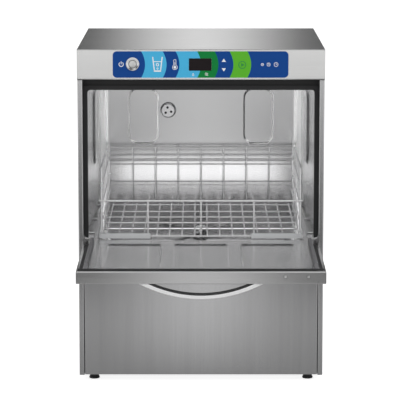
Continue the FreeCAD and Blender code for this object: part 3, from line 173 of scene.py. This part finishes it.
# %% White surround
world = bpy.data.worlds.new("white_surround")
world.use_nodes = True
bpy.context.scene.world = world
sky = world.node_tree
sky.nodes.clear()
rays = put(sky, "ShaderNodeLightPath").outputs
seen = calc(sky, "MAXIMUM", rays["Is Camera Ray"], rays["Is Glossy Ray"])
seen = calc(sky, "MAXIMUM", seen, rays["Is Transmission Ray"])
soft_light = put(sky, "ShaderNodeBackground", {"Color": (1, 1, 1, 1), "Strength": 0.5})
white = put(sky, "ShaderNodeBackground", {"Color": (1, 1, 1, 1), "Strength": 1.0})
surround = put(sky, "ShaderNodeMixShader", {0: seen, 1: soft_light.outputs[0], 2: white.outputs[0]})
put(sky, "ShaderNodeOutputWorld", {"Surface": surround.outputs[0]})
print("surround is white; soft light strength", soft_light.inputs["Strength"].default_value)

# %% White floor
floor_white = bpy.data.materials.new("floor_white")
floor_white.use_nodes = True
tree = floor_white.node_tree
tree.nodes.clear()
rays = put(tree, "ShaderNodeLightPath").outputs
card = put(tree, "ShaderNodeBsdfDiffuse", {"Color": (0.8, 0.8, 0.8, 1)})
lift = put(tree, "ShaderNodeEmission", {"Color": (1, 1, 1, 1), "Strength": 0.8})
none = put(tree, "ShaderNodeEmission", {"Color": (0, 0, 0, 1), "Strength": 0.0})
lift_seen = put(tree, "ShaderNodeMixShader", {0: rays["Is Camera Ray"], 1: none.outputs[0],
                                              2: lift.outputs[0]})
both = put(tree, "ShaderNodeAddShader", {0: card.outputs[0], 1: lift_seen.outputs[0]})
put(tree, "ShaderNodeOutputMaterial", {"Surface": both.outputs[0]})

bm = bmesh.new()
bmesh.ops.create_grid(bm, x_segments=1, y_segments=1, size=40)
floor = make_piece("studio_floor", bm, floor_white)
floor.visible_glossy = False

# %% [markdown]
# Bright steel shows little but what stands round it, so in a photo studio grey cards hang about it:
# without them the steel would be as white as the background. Here a large tent of card and a sheet
# on the ground are seen only in reflections. The top cover mirrors the tent behind the machine, the
# front and the wash tank mirror the sheet, so a glow painted on each gives the soft bright middles.

# %% Helpers for the grey cards
def reflected_only(piece):
    """Show a studio card in reflections and nowhere else."""
    for kind in ("camera", "diffuse", "transmission", "volume_scatter", "shadow"):
        setattr(piece, "visible_" + kind, False)


def grey_ramp(tree, value, stops):
    """Grey level along a value from 0 to 1, through (place, level) stops."""
    ramp_node = put(tree, "ShaderNodeValToRGB", {"Fac": value})
    stops_here = ramp_node.color_ramp.elements
    for spare, (place_at, grey) in zip(stops_here, (stops[0], stops[-1])):
        spare.position = place_at
        spare.color = (grey, grey, grey, 1)
    for place_at, grey in stops[1:-1]:
        stops_here.new(place_at).color = (grey, grey, grey, 1)
    return ramp_node.outputs["Color"]


def start_card(name):
    """An empty material for a card, its tree, and the X, Y and Z of a point on the card."""
    card = bpy.data.materials.new(name)
    card.use_nodes = True
    card.node_tree.nodes.clear()
    return card, card.node_tree, object_place(card.node_tree)


def shine_with(tree, level):
    """Finish a card: it shines by itself with the given grey."""
    shine = put(tree, "ShaderNodeEmission", {"Color": level, "Strength": 1.0})
    put(tree, "ShaderNodeOutputMaterial", {"Surface": shine.outputs[0]})


print("card helpers ready")

# %% Card tent, with the glow behind the machine
tent_grey, tree, part = start_card("tent_grey")
rise = rescale(tree, part["Z"], 0.0, 12.0)
by_height = grey_ramp(tree, rise, [(0.0, 0.85), (0.15, 0.64), (0.45, 0.7), (1.0, 0.8)])
aside = rescale(tree, calc(tree, "ABSOLUTE", part["X"]), 0.0, 3.0)
glow = grey_ramp(tree, aside, [(0.0, 1.0), (0.1, 0.76), (0.27, 0.05), (0.6, 0.08), (1.0, 0.5)])
behind = rescale(tree, part["Y"], 4.0, 9.0)
low_down = rescale(tree, part["Z"], 6.0, 10.0, low=1.0, high=0.0)
shine_with(tree, mix(tree, calc(tree, "MULTIPLY", behind, low_down), by_height, glow))

bm = bmesh.new()
bmesh.ops.create_uvsphere(bm, u_segments=48, v_segments=24, radius=12)
reflected_only(make_piece("card_tent", bm, tent_grey))

# %% [markdown]
# The sheet on the ground is what the upright steel mirrors, because the view looks down. A point
# high on the front mirrors a place far out on the sheet, and a low point a place close by. So the
# glow is laid out by how far ahead of the machine a place is, and by how far aside it is, measured
# in the widths that the view gives it there.

# %% Sheet on the ground in front, with its glow
sheet_grey, tree, part = start_card("sheet_grey")
ahead = calc(tree, "SUBTRACT", FRONT, part["Y"])
ahead_share = rescale(tree, ahead, 0.0, 10.0)
spread = calc(tree, "MULTIPLY_ADD", ahead, 1 / VIEW_DISTANCE, 1.0)
width_share = calc(tree, "DIVIDE", calc(tree, "ABSOLUTE", part["X"]), spread)
middle = grey_ramp(tree, ahead_share, [
    (0.0, 0.3), (0.05, 0.6), (0.1, 0.78), (0.2, 0.86), (0.42, 1.0), (0.52, 0.56), (0.62, 0.4), (0.7, 1.0)])
edges = grey_ramp(tree, ahead_share, [
    (0.0, 0.3), (0.08, 0.42), (0.18, 0.03), (0.4, 0.01), (0.5, 0.1), (0.57, 0.6), (0.64, 1.0)])
reach = rescale(tree, width_share, 0.0, 0.26, interpolation_type="SMOOTHSTEP")
outside = rescale(tree, width_share, 0.42, 0.66, interpolation_type="SMOOTHSTEP")
beside_grey = rescale(tree, ahead, 0.4, 2.0, low=0.5, high=0.92)
shine_with(tree, mix(tree, outside, mix(tree, reach, middle, edges), beside_grey))

bm = bmesh.new()
bmesh.ops.create_grid(bm, x_segments=1, y_segments=1, size=14)
reflected_only(make_piece("ground_sheet", bm, sheet_grey))

# %% [markdown]
# ## Lamps
#
# Soft boxes are large area lamps. One big box in front and above gives the even light, and a smaller
# one on each side rounds off the edges. The steel already mirrors the cards, so these three don't
# show in it. The wash tank is a deep steel box and would be dark without a small lamp of its own,
# low in the mouth, where the open door would throw light up into it. A second lamp in the same place
# lights only what is matt in there, because the steel would show it as a glare.

# %% Soft boxes
def soft_box(name, spot, target, size, power):
    """Area lamp that looks at a target point and doesn't show in the steel."""
    lamp = bpy.data.lights.new(name, "AREA")
    lamp.shape = "RECTANGLE"
    lamp.size, lamp.size_y = size
    lamp.energy = power
    box = bpy.data.objects.new(name, lamp)
    box.location = spot
    box.rotation_euler = (Vector(target) - Vector(spot)).to_track_quat("-Z", "Y").to_euler()
    box.visible_glossy = False
    bpy.context.scene.collection.objects.link(box)
    return box


soft_box("box_above", (0.3, -2.4, 3.2), (0, 0, 0.4), (2.4, 1.8), 48)
soft_box("box_left", (-3.2, -2.0, 1.6), (0, 0, 0.4), (1.2, 1.8), 16)
soft_box("box_right", (3.2, -2.0, 1.6), (0, 0, 0.4), (1.2, 1.8), 16)

IN_THE_MOUTH = ((0.0, -0.035, 0.365), (0.0, 0.3, 0.66), (0.46, 0.09))
inner = soft_box("box_inside", *IN_THE_MOUTH, 0.16)
inner.visible_glossy = True
matt_light = soft_box("box_for_matt_parts", *IN_THE_MOUTH, 4.0)
inner.visible_camera = matt_light.visible_camera = False

# %% [markdown]
# ## Shared surface effects
#
# Brushed steel gets its look from thousands of fine parallel scratches. A noise pattern stretched
# along one direction makes them, and the same noise lifts the surface a little, so the highlight
# breaks up along the brushing. The stretch is an input, so one group serves steel brushed upright,
# across or from front to back. It reads Object coordinates, which don't move with the camera.

# %% Brushed lines
brushed_lines, given, result = start_group(
    "brushed_lines",
    [("Stretch", VECTOR, (4, 500, 500)), ("Depth", NUMBER, 0.1)],
    [("Lines", NUMBER), ("Streaks", NUMBER), ("Normal", VECTOR)])
tree = brushed_lines
place = put(tree, "ShaderNodeTexCoord")
fine_place = put(tree, "ShaderNodeVectorMath", {0: place.outputs["Object"], 1: given.outputs["Stretch"]},
                 operation="MULTIPLY")
fine = put(tree, "ShaderNodeTexNoise", {"Vector": fine_place.outputs[0], "Scale": 1.0, "Detail": 4.0,
                                        "Roughness": 0.7})
broad_place = put(tree, "ShaderNodeVectorMath", {0: fine_place.outputs[0], "Scale": 0.09}, operation="SCALE")
broad = put(tree, "ShaderNodeTexNoise", {"Vector": broad_place.outputs[0], "Scale": 1.0, "Detail": 2.0})
lift = put(tree, "ShaderNodeBump", {"Height": fine.outputs["Fac"], "Strength": given.outputs["Depth"],
                                    "Distance": 0.0003})
tree.links.new(fine.outputs["Fac"], result.inputs["Lines"])
tree.links.new(broad.outputs["Fac"], result.inputs["Streaks"])
tree.links.new(lift.outputs[0], result.inputs["Normal"])
print("group", brushed_lines.name, "with", len(tree.nodes), "nodes")

# %% [markdown]
# A machine that is wiped down every day carries faint cloudy marks. A soft noise makes them, and
# they change the roughness more than the colour, because a wiped film dulls the shine. The second
# group here is the fine pebbled skin of moulded plastic and rubber.

# %% Wiping marks and moulded skin
wiping_marks, given, result = start_group(
    "wiping_marks", [("Size", NUMBER, 8.0), ("Amount", NUMBER, 0.5)], [("Marks", NUMBER)])
tree = wiping_marks
place = put(tree, "ShaderNodeTexCoord")
clouds = put(tree, "ShaderNodeTexNoise", {"Vector": place.outputs["Object"], "Scale": given.outputs["Size"],
                                          "Detail": 3.0, "Roughness": 0.5})
patches = rescale(tree, clouds.outputs["Fac"], 0.35, 0.8)
tree.links.new(calc(tree, "MULTIPLY", patches, given.outputs["Amount"]), result.inputs["Marks"])

moulded_skin, given, result = start_group(
    "moulded_skin",
    [("Grain", NUMBER, 900.0), ("Depth", NUMBER, 0.15)],
    [("Shade", NUMBER), ("Normal", VECTOR)])
tree = moulded_skin
place = put(tree, "ShaderNodeTexCoord")
pebbles = put(tree, "ShaderNodeTexNoise", {"Vector": place.outputs["Object"], "Scale": given.outputs["Grain"],
                                           "Detail": 3.0})
shade = put(tree, "ShaderNodeTexNoise", {"Vector": place.outputs["Object"], "Scale": 22.0, "Detail": 4.0})
lift = put(tree, "ShaderNodeBump", {"Height": pebbles.outputs["Fac"], "Strength": given.outputs["Depth"],
                                    "Distance": 0.0002})
tree.links.new(shade.outputs["Fac"], result.inputs["Shade"])
tree.links.new(lift.outputs[0], result.inputs["Normal"])
print("groups", wiping_marks.name, "and", moulded_skin.name)

# %% [markdown]
# ## Steel
#
# All the sheet metal is stainless steel, but the brushing runs differently: along the width on the
# top cover and the control fascia, upright on the sides, the strips beside the door and the front.
# The tank is pressed from bright rolled sheet, smoother and shinier. One function makes each kind
# from its tone, its shine and the direction of its grain.

# %% Stainless steel finishes
def stainless(name, stretch, tone, roughness, depth, marks, contrast=0.04, metallic=1.0):
    """Stainless steel: tone is its grey, stretch the direction of its grain, marks how wiped it looks."""
    finish, tree, shader = start_finish(name, Metallic=metallic)
    grain = put(tree, "ShaderNodeGroup", {"Stretch": stretch, "Depth": depth}, node_tree=brushed_lines)
    wiped = put(tree, "ShaderNodeGroup", {"Amount": marks}, node_tree=wiping_marks)
    dark = tuple(c * (1 - contrast) for c in tone) + (1,)
    light = tuple(min(1.0, c * (1 + contrast)) for c in tone) + (1,)
    weave = calc(tree, "ADD", grain.outputs["Lines"], grain.outputs["Streaks"])
    colour = mix(tree, rescale(tree, weave, 0.7, 1.3), dark, light)
    shine = rescale(tree, grain.outputs["Streaks"], 0.0, 1.0, low=roughness - 0.02, high=roughness + 0.02)
    dulled = calc(tree, "MULTIPLY_ADD", wiped.outputs["Marks"], 0.1, shine)
    tree.links.new(colour, shader.inputs["Base Color"])
    tree.links.new(dulled, shader.inputs["Roughness"])
    tree.links.new(grain.outputs["Normal"], shader.inputs["Normal"])
    return finish


ACROSS = (5, 420, 420)
UPRIGHT = (420, 420, 5)
cover_steel = stainless("cover_steel", ACROSS, (0.66, 0.66, 0.66), 0.24, 0.015, 0.2)
steel_upright = stainless("steel_upright", UPRIGHT, (0.6, 0.6, 0.605), 0.2, 0.03, 0.25)
fascia_steel = stainless("fascia_steel", ACROSS, (0.8, 0.8, 0.795), 0.18, 0.03, 0.15)
tank_steel = stainless("tank_steel", (60, 60, 5), (0.74, 0.74, 0.745), 0.19, 0.008, 0.15, contrast=0.02)
plain_steel = stainless("plain_steel", (60, 60, 60), (0.58, 0.58, 0.585), 0.28, 0.05, 0.6)
print("steel finishes:", [m.name for m in bpy.data.materials if "steel" in m.name])

# %% [markdown]
# Round the tank's rear corners and along the rims of the two pads the steel is made matt, and its
# colour is a painted highlight, pale as if a lamp lit those places from low on the right. The mask finds
# them by where they face and by how near the back wall they lie: rims that face down or right, and
# both rear corners.

# %% Painted highlight on rims and corners in the tank
def lay_over(finish, mask, shade):
    """Lay a plain shade over a finish's own colour, where the mask is 1."""
    base = finish.node_tree.nodes["Principled BSDF"].inputs["Base Color"]
    covered = mix(finish.node_tree, mask, base.links[0].from_socket, shade)
    finish.node_tree.links.new(covered, base)


tree = tank_steel.node_tree
facing = object_place(tree, "Normal")
spot = object_place(tree)
down = rescale(tree, facing["Z"], -0.3, -0.5)
right = rescale(tree, facing["X"], 0.2, 0.5)
in_corner = calc(tree, "GREATER_THAN", spot["X"], 0.2)
left = calc(tree, "MULTIPLY", rescale(tree, facing["X"], -0.2, -0.5), in_corner)
# Painted highlight: rims facing down or right and both rear corners get a pale colour.
highlight_facing = calc(tree, "MAXIMUM", calc(tree, "MAXIMUM", down, right), left)
at_back = calc(tree, "GREATER_THAN", spot["Y"], BACK_WALL - 0.03)
matt_and_painted_highlight = calc(tree, "MULTIPLY", highlight_facing, at_back)
lay_over(tank_steel, matt_and_painted_highlight, (0.9, 0.9, 0.9, 1))
mirror = rescale(tree, matt_and_painted_highlight, 0.0, 1.0, low=1.0, high=0.15)
tree.links.new(mirror, tree.nodes["Principled BSDF"].inputs["Metallic"])
print("matt rims on", tank_steel.name)

# %% [markdown]
# ## Handle, chrome, wire, brass and cast metal
#
# The bow handle is satin aluminium, paler than the steel. Its inner face looks up under the open door
# and is painted nearly black, a painted shade for the door's shadow. The ring of the push button is
# polished and its dome is satin. The rack is bent from bright steel wire. Each is a metal with its own
# tone and shine.

# %% Other metals
satin_handle = stainless("satin_handle", (8, 350, 350), (0.9, 0.9, 0.9), 0.42, 0.03, 0.2, metallic=0.5)
button_satin = stainless("button_satin", (40, 40, 40), (0.8, 0.8, 0.79), 0.42, 0.0, 0.1)
bright_chrome = stainless("bright_chrome", (40, 40, 40), (0.8, 0.8, 0.81), 0.16, 0.0, 0.1)
rack_wire = stainless("rack_wire", (150, 150, 150), (0.9, 0.9, 0.905), 0.24, 0.05, 0.5)
motor_shell = stainless("motor_shell", (30, 30, 30), (0.45, 0.46, 0.48), 0.45, 0.1, 0.6)
brass = stainless("brass", (60, 60, 60), (0.72, 0.55, 0.27), 0.3, 0.05, 0.5)

# Painted shade: the handle's faces that look up, under the open door, are painted nearly black.
facing = object_place(satin_handle.node_tree, "Normal")
shaded_inner_face = rescale(satin_handle.node_tree, facing["Z"], 0.25, 0.5)
lay_over(satin_handle, shaded_inner_face, (0.035, 0.035, 0.037, 1))
print("other metals ready")

# %% [markdown]
# ## Rubber and moulded plastics
#
# The door seal and the feet are matt black rubber, the spray arms' hubs and the pump housings are
# moulded. These all share the pebbled skin. A soft noise makes them a little paler and rougher in
# places, so the colour runs between two close tones.

# %% Rubber and plastics
def moulded(name, dark, light, roughness, grain, depth, **plain):
    """Moulded rubber or plastic between two close tones."""
    finish, tree, shader = start_finish(name, **plain)
    skin = put(tree, "ShaderNodeGroup", {"Grain": grain, "Depth": depth}, node_tree=moulded_skin)
    colour = mix(tree, skin.outputs["Shade"], (*dark, 1), (*light, 1))
    sheen = rescale(tree, skin.outputs["Shade"], 0.0, 1.0, low=roughness - 0.08, high=roughness + 0.08)
    tree.links.new(colour, shader.inputs["Base Color"])
    tree.links.new(sheen, shader.inputs["Roughness"])
    tree.links.new(skin.outputs["Normal"], shader.inputs["Normal"])
    return finish


black_rubber = moulded("black_rubber", (0.006, 0.006, 0.007), (0.02, 0.02, 0.021), 0.6, 700.0, 0.2)
black_moulding = moulded("black_moulding", (0.018, 0.018, 0.02), (0.034, 0.034, 0.036), 0.45, 900.0, 0.15)
grey_moulding = moulded("grey_moulding", (0.52, 0.53, 0.54), (0.66, 0.67, 0.68), 0.42, 900.0, 0.12)
circuit_green = moulded("circuit_green", (0.02, 0.13, 0.05), (0.05, 0.24, 0.1), 0.35, 300.0, 0.1)
guide_grey = moulded("guide_grey", (0.1, 0.1, 0.105), (0.15, 0.15, 0.155), 0.5, 700.0, 0.1)
smoked_window = moulded("smoked_window", (0.008, 0.006, 0.007), (0.016, 0.012, 0.013), 0.2, 60.0, 0.0,
                        Specular_IOR_Level=0.1)
print("rubber and plastics ready")

# %% [markdown]
# The door's front edge shows two small flush rivets near its right end. They are dressed into the
# steel itself: round each rivet's centre, the colour turns paler inside a disc and darker in its rim.

# %% Door steel with two flush rivets
RIVET_HEIGHT = 0.338
RIVET_PLACES = (0.1925, 0.245)
SOFT_LINE = 0.0004
door_steel = stainless("door_steel", ACROSS, (0.64, 0.64, 0.64), 0.22, 0.05, 0.2)
tree = door_steel.node_tree
place = put(tree, "ShaderNodeTexCoord")
for x in RIVET_PLACES:
    away = put(tree, "ShaderNodeVectorMath", {0: place.outputs["Object"], 1: (x, DOOR_EDGE, RIVET_HEIGHT)},
               operation="DISTANCE")
    for radius, shade in ((0.0046, (0.36, 0.36, 0.36, 1)), (0.0036, (0.86, 0.86, 0.86, 1))):
        inside = rescale(tree, away.outputs["Value"], radius + SOFT_LINE, radius - SOFT_LINE)
        lay_over(door_steel, inside, shade)
print("rivets in", door_steel.name)

# %% [markdown]
# ## Printed control film
#
# The film is a thin sheet printed from behind, so its colours lie under a clear, faintly textured
# face. The colours are flat areas side by side: a dark blue ground with two light blue and two green
# fields whose edges bow like the side of a tumbler. Each field is a stripe between two numbers,
# measured along the width, and a node group makes one stripe.

# %% Stripe between two places along the width
film_stripe, given, result = start_group(
    "film_stripe",
    [("Along", NUMBER, 0.0), ("Left", NUMBER, 0.0), ("Right", NUMBER, 0.1)],
    [("Inside", NUMBER)])
past_left = calc(film_stripe, "GREATER_THAN", given.outputs["Along"], given.outputs["Left"])
before_right = calc(film_stripe, "LESS_THAN", given.outputs["Along"], given.outputs["Right"])
film_stripe.links.new(calc(film_stripe, "MULTIPLY", past_left, before_right), result.inputs["Inside"])
print("group", film_stripe.name)

# %% Control film
film_low, film_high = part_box("control_overlay")
FILM_FACE = film_low.y
FILM_MIDDLE = (film_low.z + film_high.z) / 2
DEEP_BLUE = (0.009, 0.058, 0.25, 1)
LIGHT_BLUE = (0.07, 0.43, 0.7, 1)
GREEN = (0.105, 0.43, 0.03, 1)
DEEP_GREEN = (0.008, 0.2, 0.045, 1)
FIELDS = ((-0.135, -0.083, LIGHT_BLUE), (-0.052, 0.0, LIGHT_BLUE),
          (0.0, 0.042, DEEP_GREEN), (0.078, 0.121, GREEN))
BOW = 9.0

control_film, tree, shader = start_finish("control_film", Roughness=0.4, Specular_IOR_Level=0.06)
part = object_place(tree)
from_middle = calc(tree, "POWER", calc(tree, "SUBTRACT", part["Z"], FILM_MIDDLE), 2.0)
along = calc(tree, "MULTIPLY_ADD", from_middle, BOW, part["X"])
colour = DEEP_BLUE
for left, right, shade in FIELDS:
    stripe = put(tree, "ShaderNodeGroup", {"Along": along, "Left": left, "Right": right},
                 node_tree=film_stripe)
    colour = mix(tree, stripe.outputs[0], colour, shade)
skin = put(tree, "ShaderNodeGroup", {"Grain": 1500.0, "Depth": 0.06}, node_tree=moulded_skin)
tree.links.new(colour, shader.inputs["Base Color"])
tree.links.new(skin.outputs["Normal"], shader.inputs["Normal"])
print("film", round(film_high.x - film_low.x, 3), "m wide, face at y =", round(FILM_FACE, 4))

# %% [markdown]
# ## Finishes onto the CAD pieces
#
# Every CAD piece names the finish it has in its record, so most of the work is one table. The pieces
# whose brushing runs another way, or which need their own tone, follow by name.

# %% Dress every CAD piece
FINISH_OF_SLOT = {
    "brushed_steel": steel_upright, "polished_steel": tank_steel, "steel_parts": plain_steel,
    "satin_alloy": satin_handle, "chromed": bright_chrome, "panel_film": control_film,
    "dark_window": smoked_window, "black_rubber": black_rubber, "black_plastic": black_moulding,
    "grey_plastic": grey_moulding, "board_green": circuit_green, "coated_wire": rack_wire,
    "motor_metal": motor_shell, "brass_fitting": brass,
}
FINISH_OF_NODE = {
    "top_cover": cover_steel, "control_fascia": fascia_steel, "door_outer_skin": door_steel,
    "door_guides": guide_grey, "power_button": button_satin,
}


def dress(node, finish):
    """Give all faces of a CAD piece one finish."""
    if not node.material_slots:
        node.data.materials.append(finish)
    for place in node.material_slots:
        place.material = finish


for name, node in nodes.items():
    slot_name = node.material_slots[0].material.name.split(".")[0] if node.material_slots else "brushed_steel"
    dress(node, FINISH_OF_NODE.get(name, FINISH_OF_SLOT.get(slot_name, plain_steel)))
    if slot_name not in FINISH_OF_SLOT:
        print("no finish for", name, slot_name)
print("dressed", len(nodes), "pieces")

# %% [markdown]
# ## Printed symbols
#
# The symbols on the film are ink, a few hundredths of a millimetre thick. A flat piece that lies
# exactly on the film would flicker against it, so each symbol is drawn flat, sunk a hundredth of a
# millimetre into the face, and then extruded to the ink's thickness. Bars, rings, discs and simple
# outlines are enough for all of them.

# %% Drawing with ink
INK = 0.00006
SUNK = 0.00001


def bar(bm, start, end, width):
    """A straight stroke between two points (x, z) on the film."""
    start, end = Vector((start[0], 0, start[1])), Vector((end[0], 0, end[1]))
    aside = (end - start).normalized().cross(Vector((0, 1, 0))) * width / 2
    bm.faces.new([bm.verts.new(p) for p in (start - aside, end - aside, end + aside, start + aside)])


def outline(bm, points):
    """A filled shape inside a line of points (x, z)."""
    bm.faces.new([bm.verts.new((x, 0, z)) for x, z in points])


def arc(bm, centre, radius, width, start, turn, steps=40):
    """Part of a ring round a centre (x, z), from a start angle through a turn, both in degrees."""
    a = math.radians(start)
    ends = [bm.verts.new((centre[0] + r * math.cos(a), 0, centre[1] + r * math.sin(a)))
            for r in (radius - width / 2, radius + width / 2)]
    edge = bm.edges.new(ends)
    bmesh.ops.spin(bm, geom=ends + [edge], cent=(centre[0], 0, centre[1]), axis=(0, -1, 0), dvec=(0, 0, 0),
                   angle=math.radians(turn), steps=steps, use_merge=turn == 360)


def disc(bm, centre, radius, steps=28):
    """A filled disc round a centre (x, z)."""
    turns = [2 * math.pi * k / steps for k in range(steps)]
    outline(bm, [(centre[0] + radius * math.cos(a), centre[1] + radius * math.sin(a)) for a in turns])


def print_symbol(name, bm, ink):
    """Turn the flat strokes into ink on the film, riding on the cabinet."""
    bmesh.ops.remove_doubles(bm, verts=bm.verts, dist=1e-7)
    grown = bmesh.ops.extrude_face_region(bm, geom=bm.faces[:])["geom"]
    for vertex in (v for v in grown if isinstance(v, bmesh.types.BMVert)):
        vertex.co.y -= INK
    for vertex in bm.verts:
        vertex.co.y += FILM_FACE - SUNK
    bmesh.ops.recalc_face_normals(bm, faces=bm.faces)
    symbol = make_piece(name, bm, ink)
    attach(symbol, "cabinet")


white_ink = moulded("white_ink", (0.78, 0.79, 0.8), (0.86, 0.87, 0.88), 0.4, 1200.0, 0.05)
green_ink = moulded("green_ink", (0.008, 0.2, 0.03), (0.014, 0.27, 0.045), 0.4, 1200.0, 0.05)
print("two inks ready")

# %% [markdown]
# The power sign left of the button is a broken ring with an upright bar. The tumbler on the light
# blue field says what the machine washes, and the thermometer stands beside the display.

# %% Power sign, tumbler and thermometer
bm = bmesh.new()
arc(bm, (-0.1925, 0.7835), 0.0052, 0.0016, 125, 290)
bar(bm, (-0.1925, 0.7835), (-0.1925, 0.7905), 0.0016)
print_symbol("power_sign", bm, white_ink)

bm = bmesh.new()
bar(bm, (-0.1165, 0.8015), (-0.1125, 0.7680), 0.0026)
bar(bm, (-0.0935, 0.8015), (-0.0975, 0.7680), 0.0026)
bar(bm, (-0.1138, 0.7672), (-0.0962, 0.7672), 0.0034)
bar(bm, (-0.1140, 0.7900), (-0.0960, 0.7900), 0.0018)
arc(bm, (-0.1050, 0.7825), 0.0030, 0.0016, 0, 360, 24)
arc(bm, (-0.1050, 0.7735), 0.0018, 0.0012, 0, 360, 20)
print_symbol("tumbler_sign", bm, white_ink)

bm = bmesh.new()
disc(bm, (-0.0630, 0.7765), 0.0034)
arc(bm, (-0.0630, 0.7765), 0.0058, 0.0012, 117, 306)
bar(bm, (-0.0630, 0.7790), (-0.0630, 0.7885), 0.0014)
for x in (-0.0657, -0.0603):
    bar(bm, (x, 0.7814), (x, 0.7925), 0.0012)
arc(bm, (-0.0630, 0.7925), 0.0027, 0.0012, 0, 180, 12)
print_symbol("thermometer_sign", bm, white_ink)

# %% [markdown]
# Two triangles mark the keys that change a value, and the start key carries a dark triangle in a
# ring. Under the display a drop and a wave stand for rinse and wash. Three discs of growing size at
# the right end stand for a short, a middle and a long cycle.

# %% Key signs and cycle signs
bm = bmesh.new()
outline(bm, [(0.0500, 0.7895), (0.0600, 0.7895), (0.0550, 0.7975)])
outline(bm, [(0.0500, 0.7740), (0.0550, 0.7660), (0.0600, 0.7740)])
print_symbol("value_signs", bm, white_ink)

bm = bmesh.new()
arc(bm, (0.0995, 0.7820), 0.0085, 0.0020, 0, 360)
outline(bm, [(0.0967, 0.7772), (0.1050, 0.7820), (0.0967, 0.7868)])
print_symbol("start_sign", bm, green_ink)

bm = bmesh.new()
arc(bm, (-0.0190, 0.7578), 0.0021, 0.0011, 0, 360, 20)
bar(bm, (-0.0205, 0.7592), (-0.0190, 0.7622), 0.0010)
bar(bm, (-0.0175, 0.7592), (-0.0190, 0.7622), 0.0010)
for z in (0.7570, 0.7595, 0.7620):
    arc(bm, (0.0115, z - 0.0016), 0.0024, 0.0010, 40, 100, 10)
    arc(bm, (0.0150, z + 0.0016), 0.0024, 0.0010, 220, 100, 10)
print_symbol("rinse_and_wash_signs", bm, white_ink)

bm = bmesh.new()
for x, radius in ((0.1480, 0.0028), (0.1630, 0.0038), (0.1810, 0.0048)):
    arc(bm, (x, 0.7830), radius, 0.0012, 0, 360, 32)
    bar(bm, (x, 0.7830), (x, 0.7830 + radius * 0.62), 0.0010)
    bar(bm, (x, 0.7830), (x + radius * 0.5, 0.7830), 0.0010)
print_symbol("cycle_signs", bm, white_ink)

# %% [markdown]
# ## Holes of the outlet in the tank
#
# The round outlet on the tank's back wall has three small holes. The bores are short, so a black disc
# at the bottom of each is painted shade, standing for the darkness deep in the hole.

# %% Black discs as painted shade in the outlet's holes
HOLE_RING = 0.0085
HOLE_RADIUS = 0.0031
outlet_low, outlet_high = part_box("wall_boss")
outlet_x = (outlet_low.x + outlet_high.x) / 2
outlet_z = (outlet_low.z + outlet_high.z) / 2
bm = bmesh.new()
for angle in (100, 220, 340):
    x = outlet_x + HOLE_RING * math.cos(math.radians(angle))
    z = outlet_z + HOLE_RING * math.sin(math.radians(angle))
    made = bmesh.ops.create_cone(bm, cap_ends=True, segments=24, radius1=HOLE_RADIUS, radius2=HOLE_RADIUS,
                                 depth=2 * HOLE_RADIUS)
    turned = Matrix.Rotation(math.radians(90), 3, "X")
    bmesh.ops.rotate(bm, verts=made["verts"], cent=(0, 0, 0), matrix=turned)
    bmesh.ops.translate(bm, verts=made["verts"], vec=(x, outlet_low.y + 0.0046, z))
# Painted shade: black discs fill the holes, which are only dark because they are deep.
hole_shade_discs = make_piece("outlet_hole_shade", bm, black_rubber)
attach(hole_shade_discs, "cabinet")
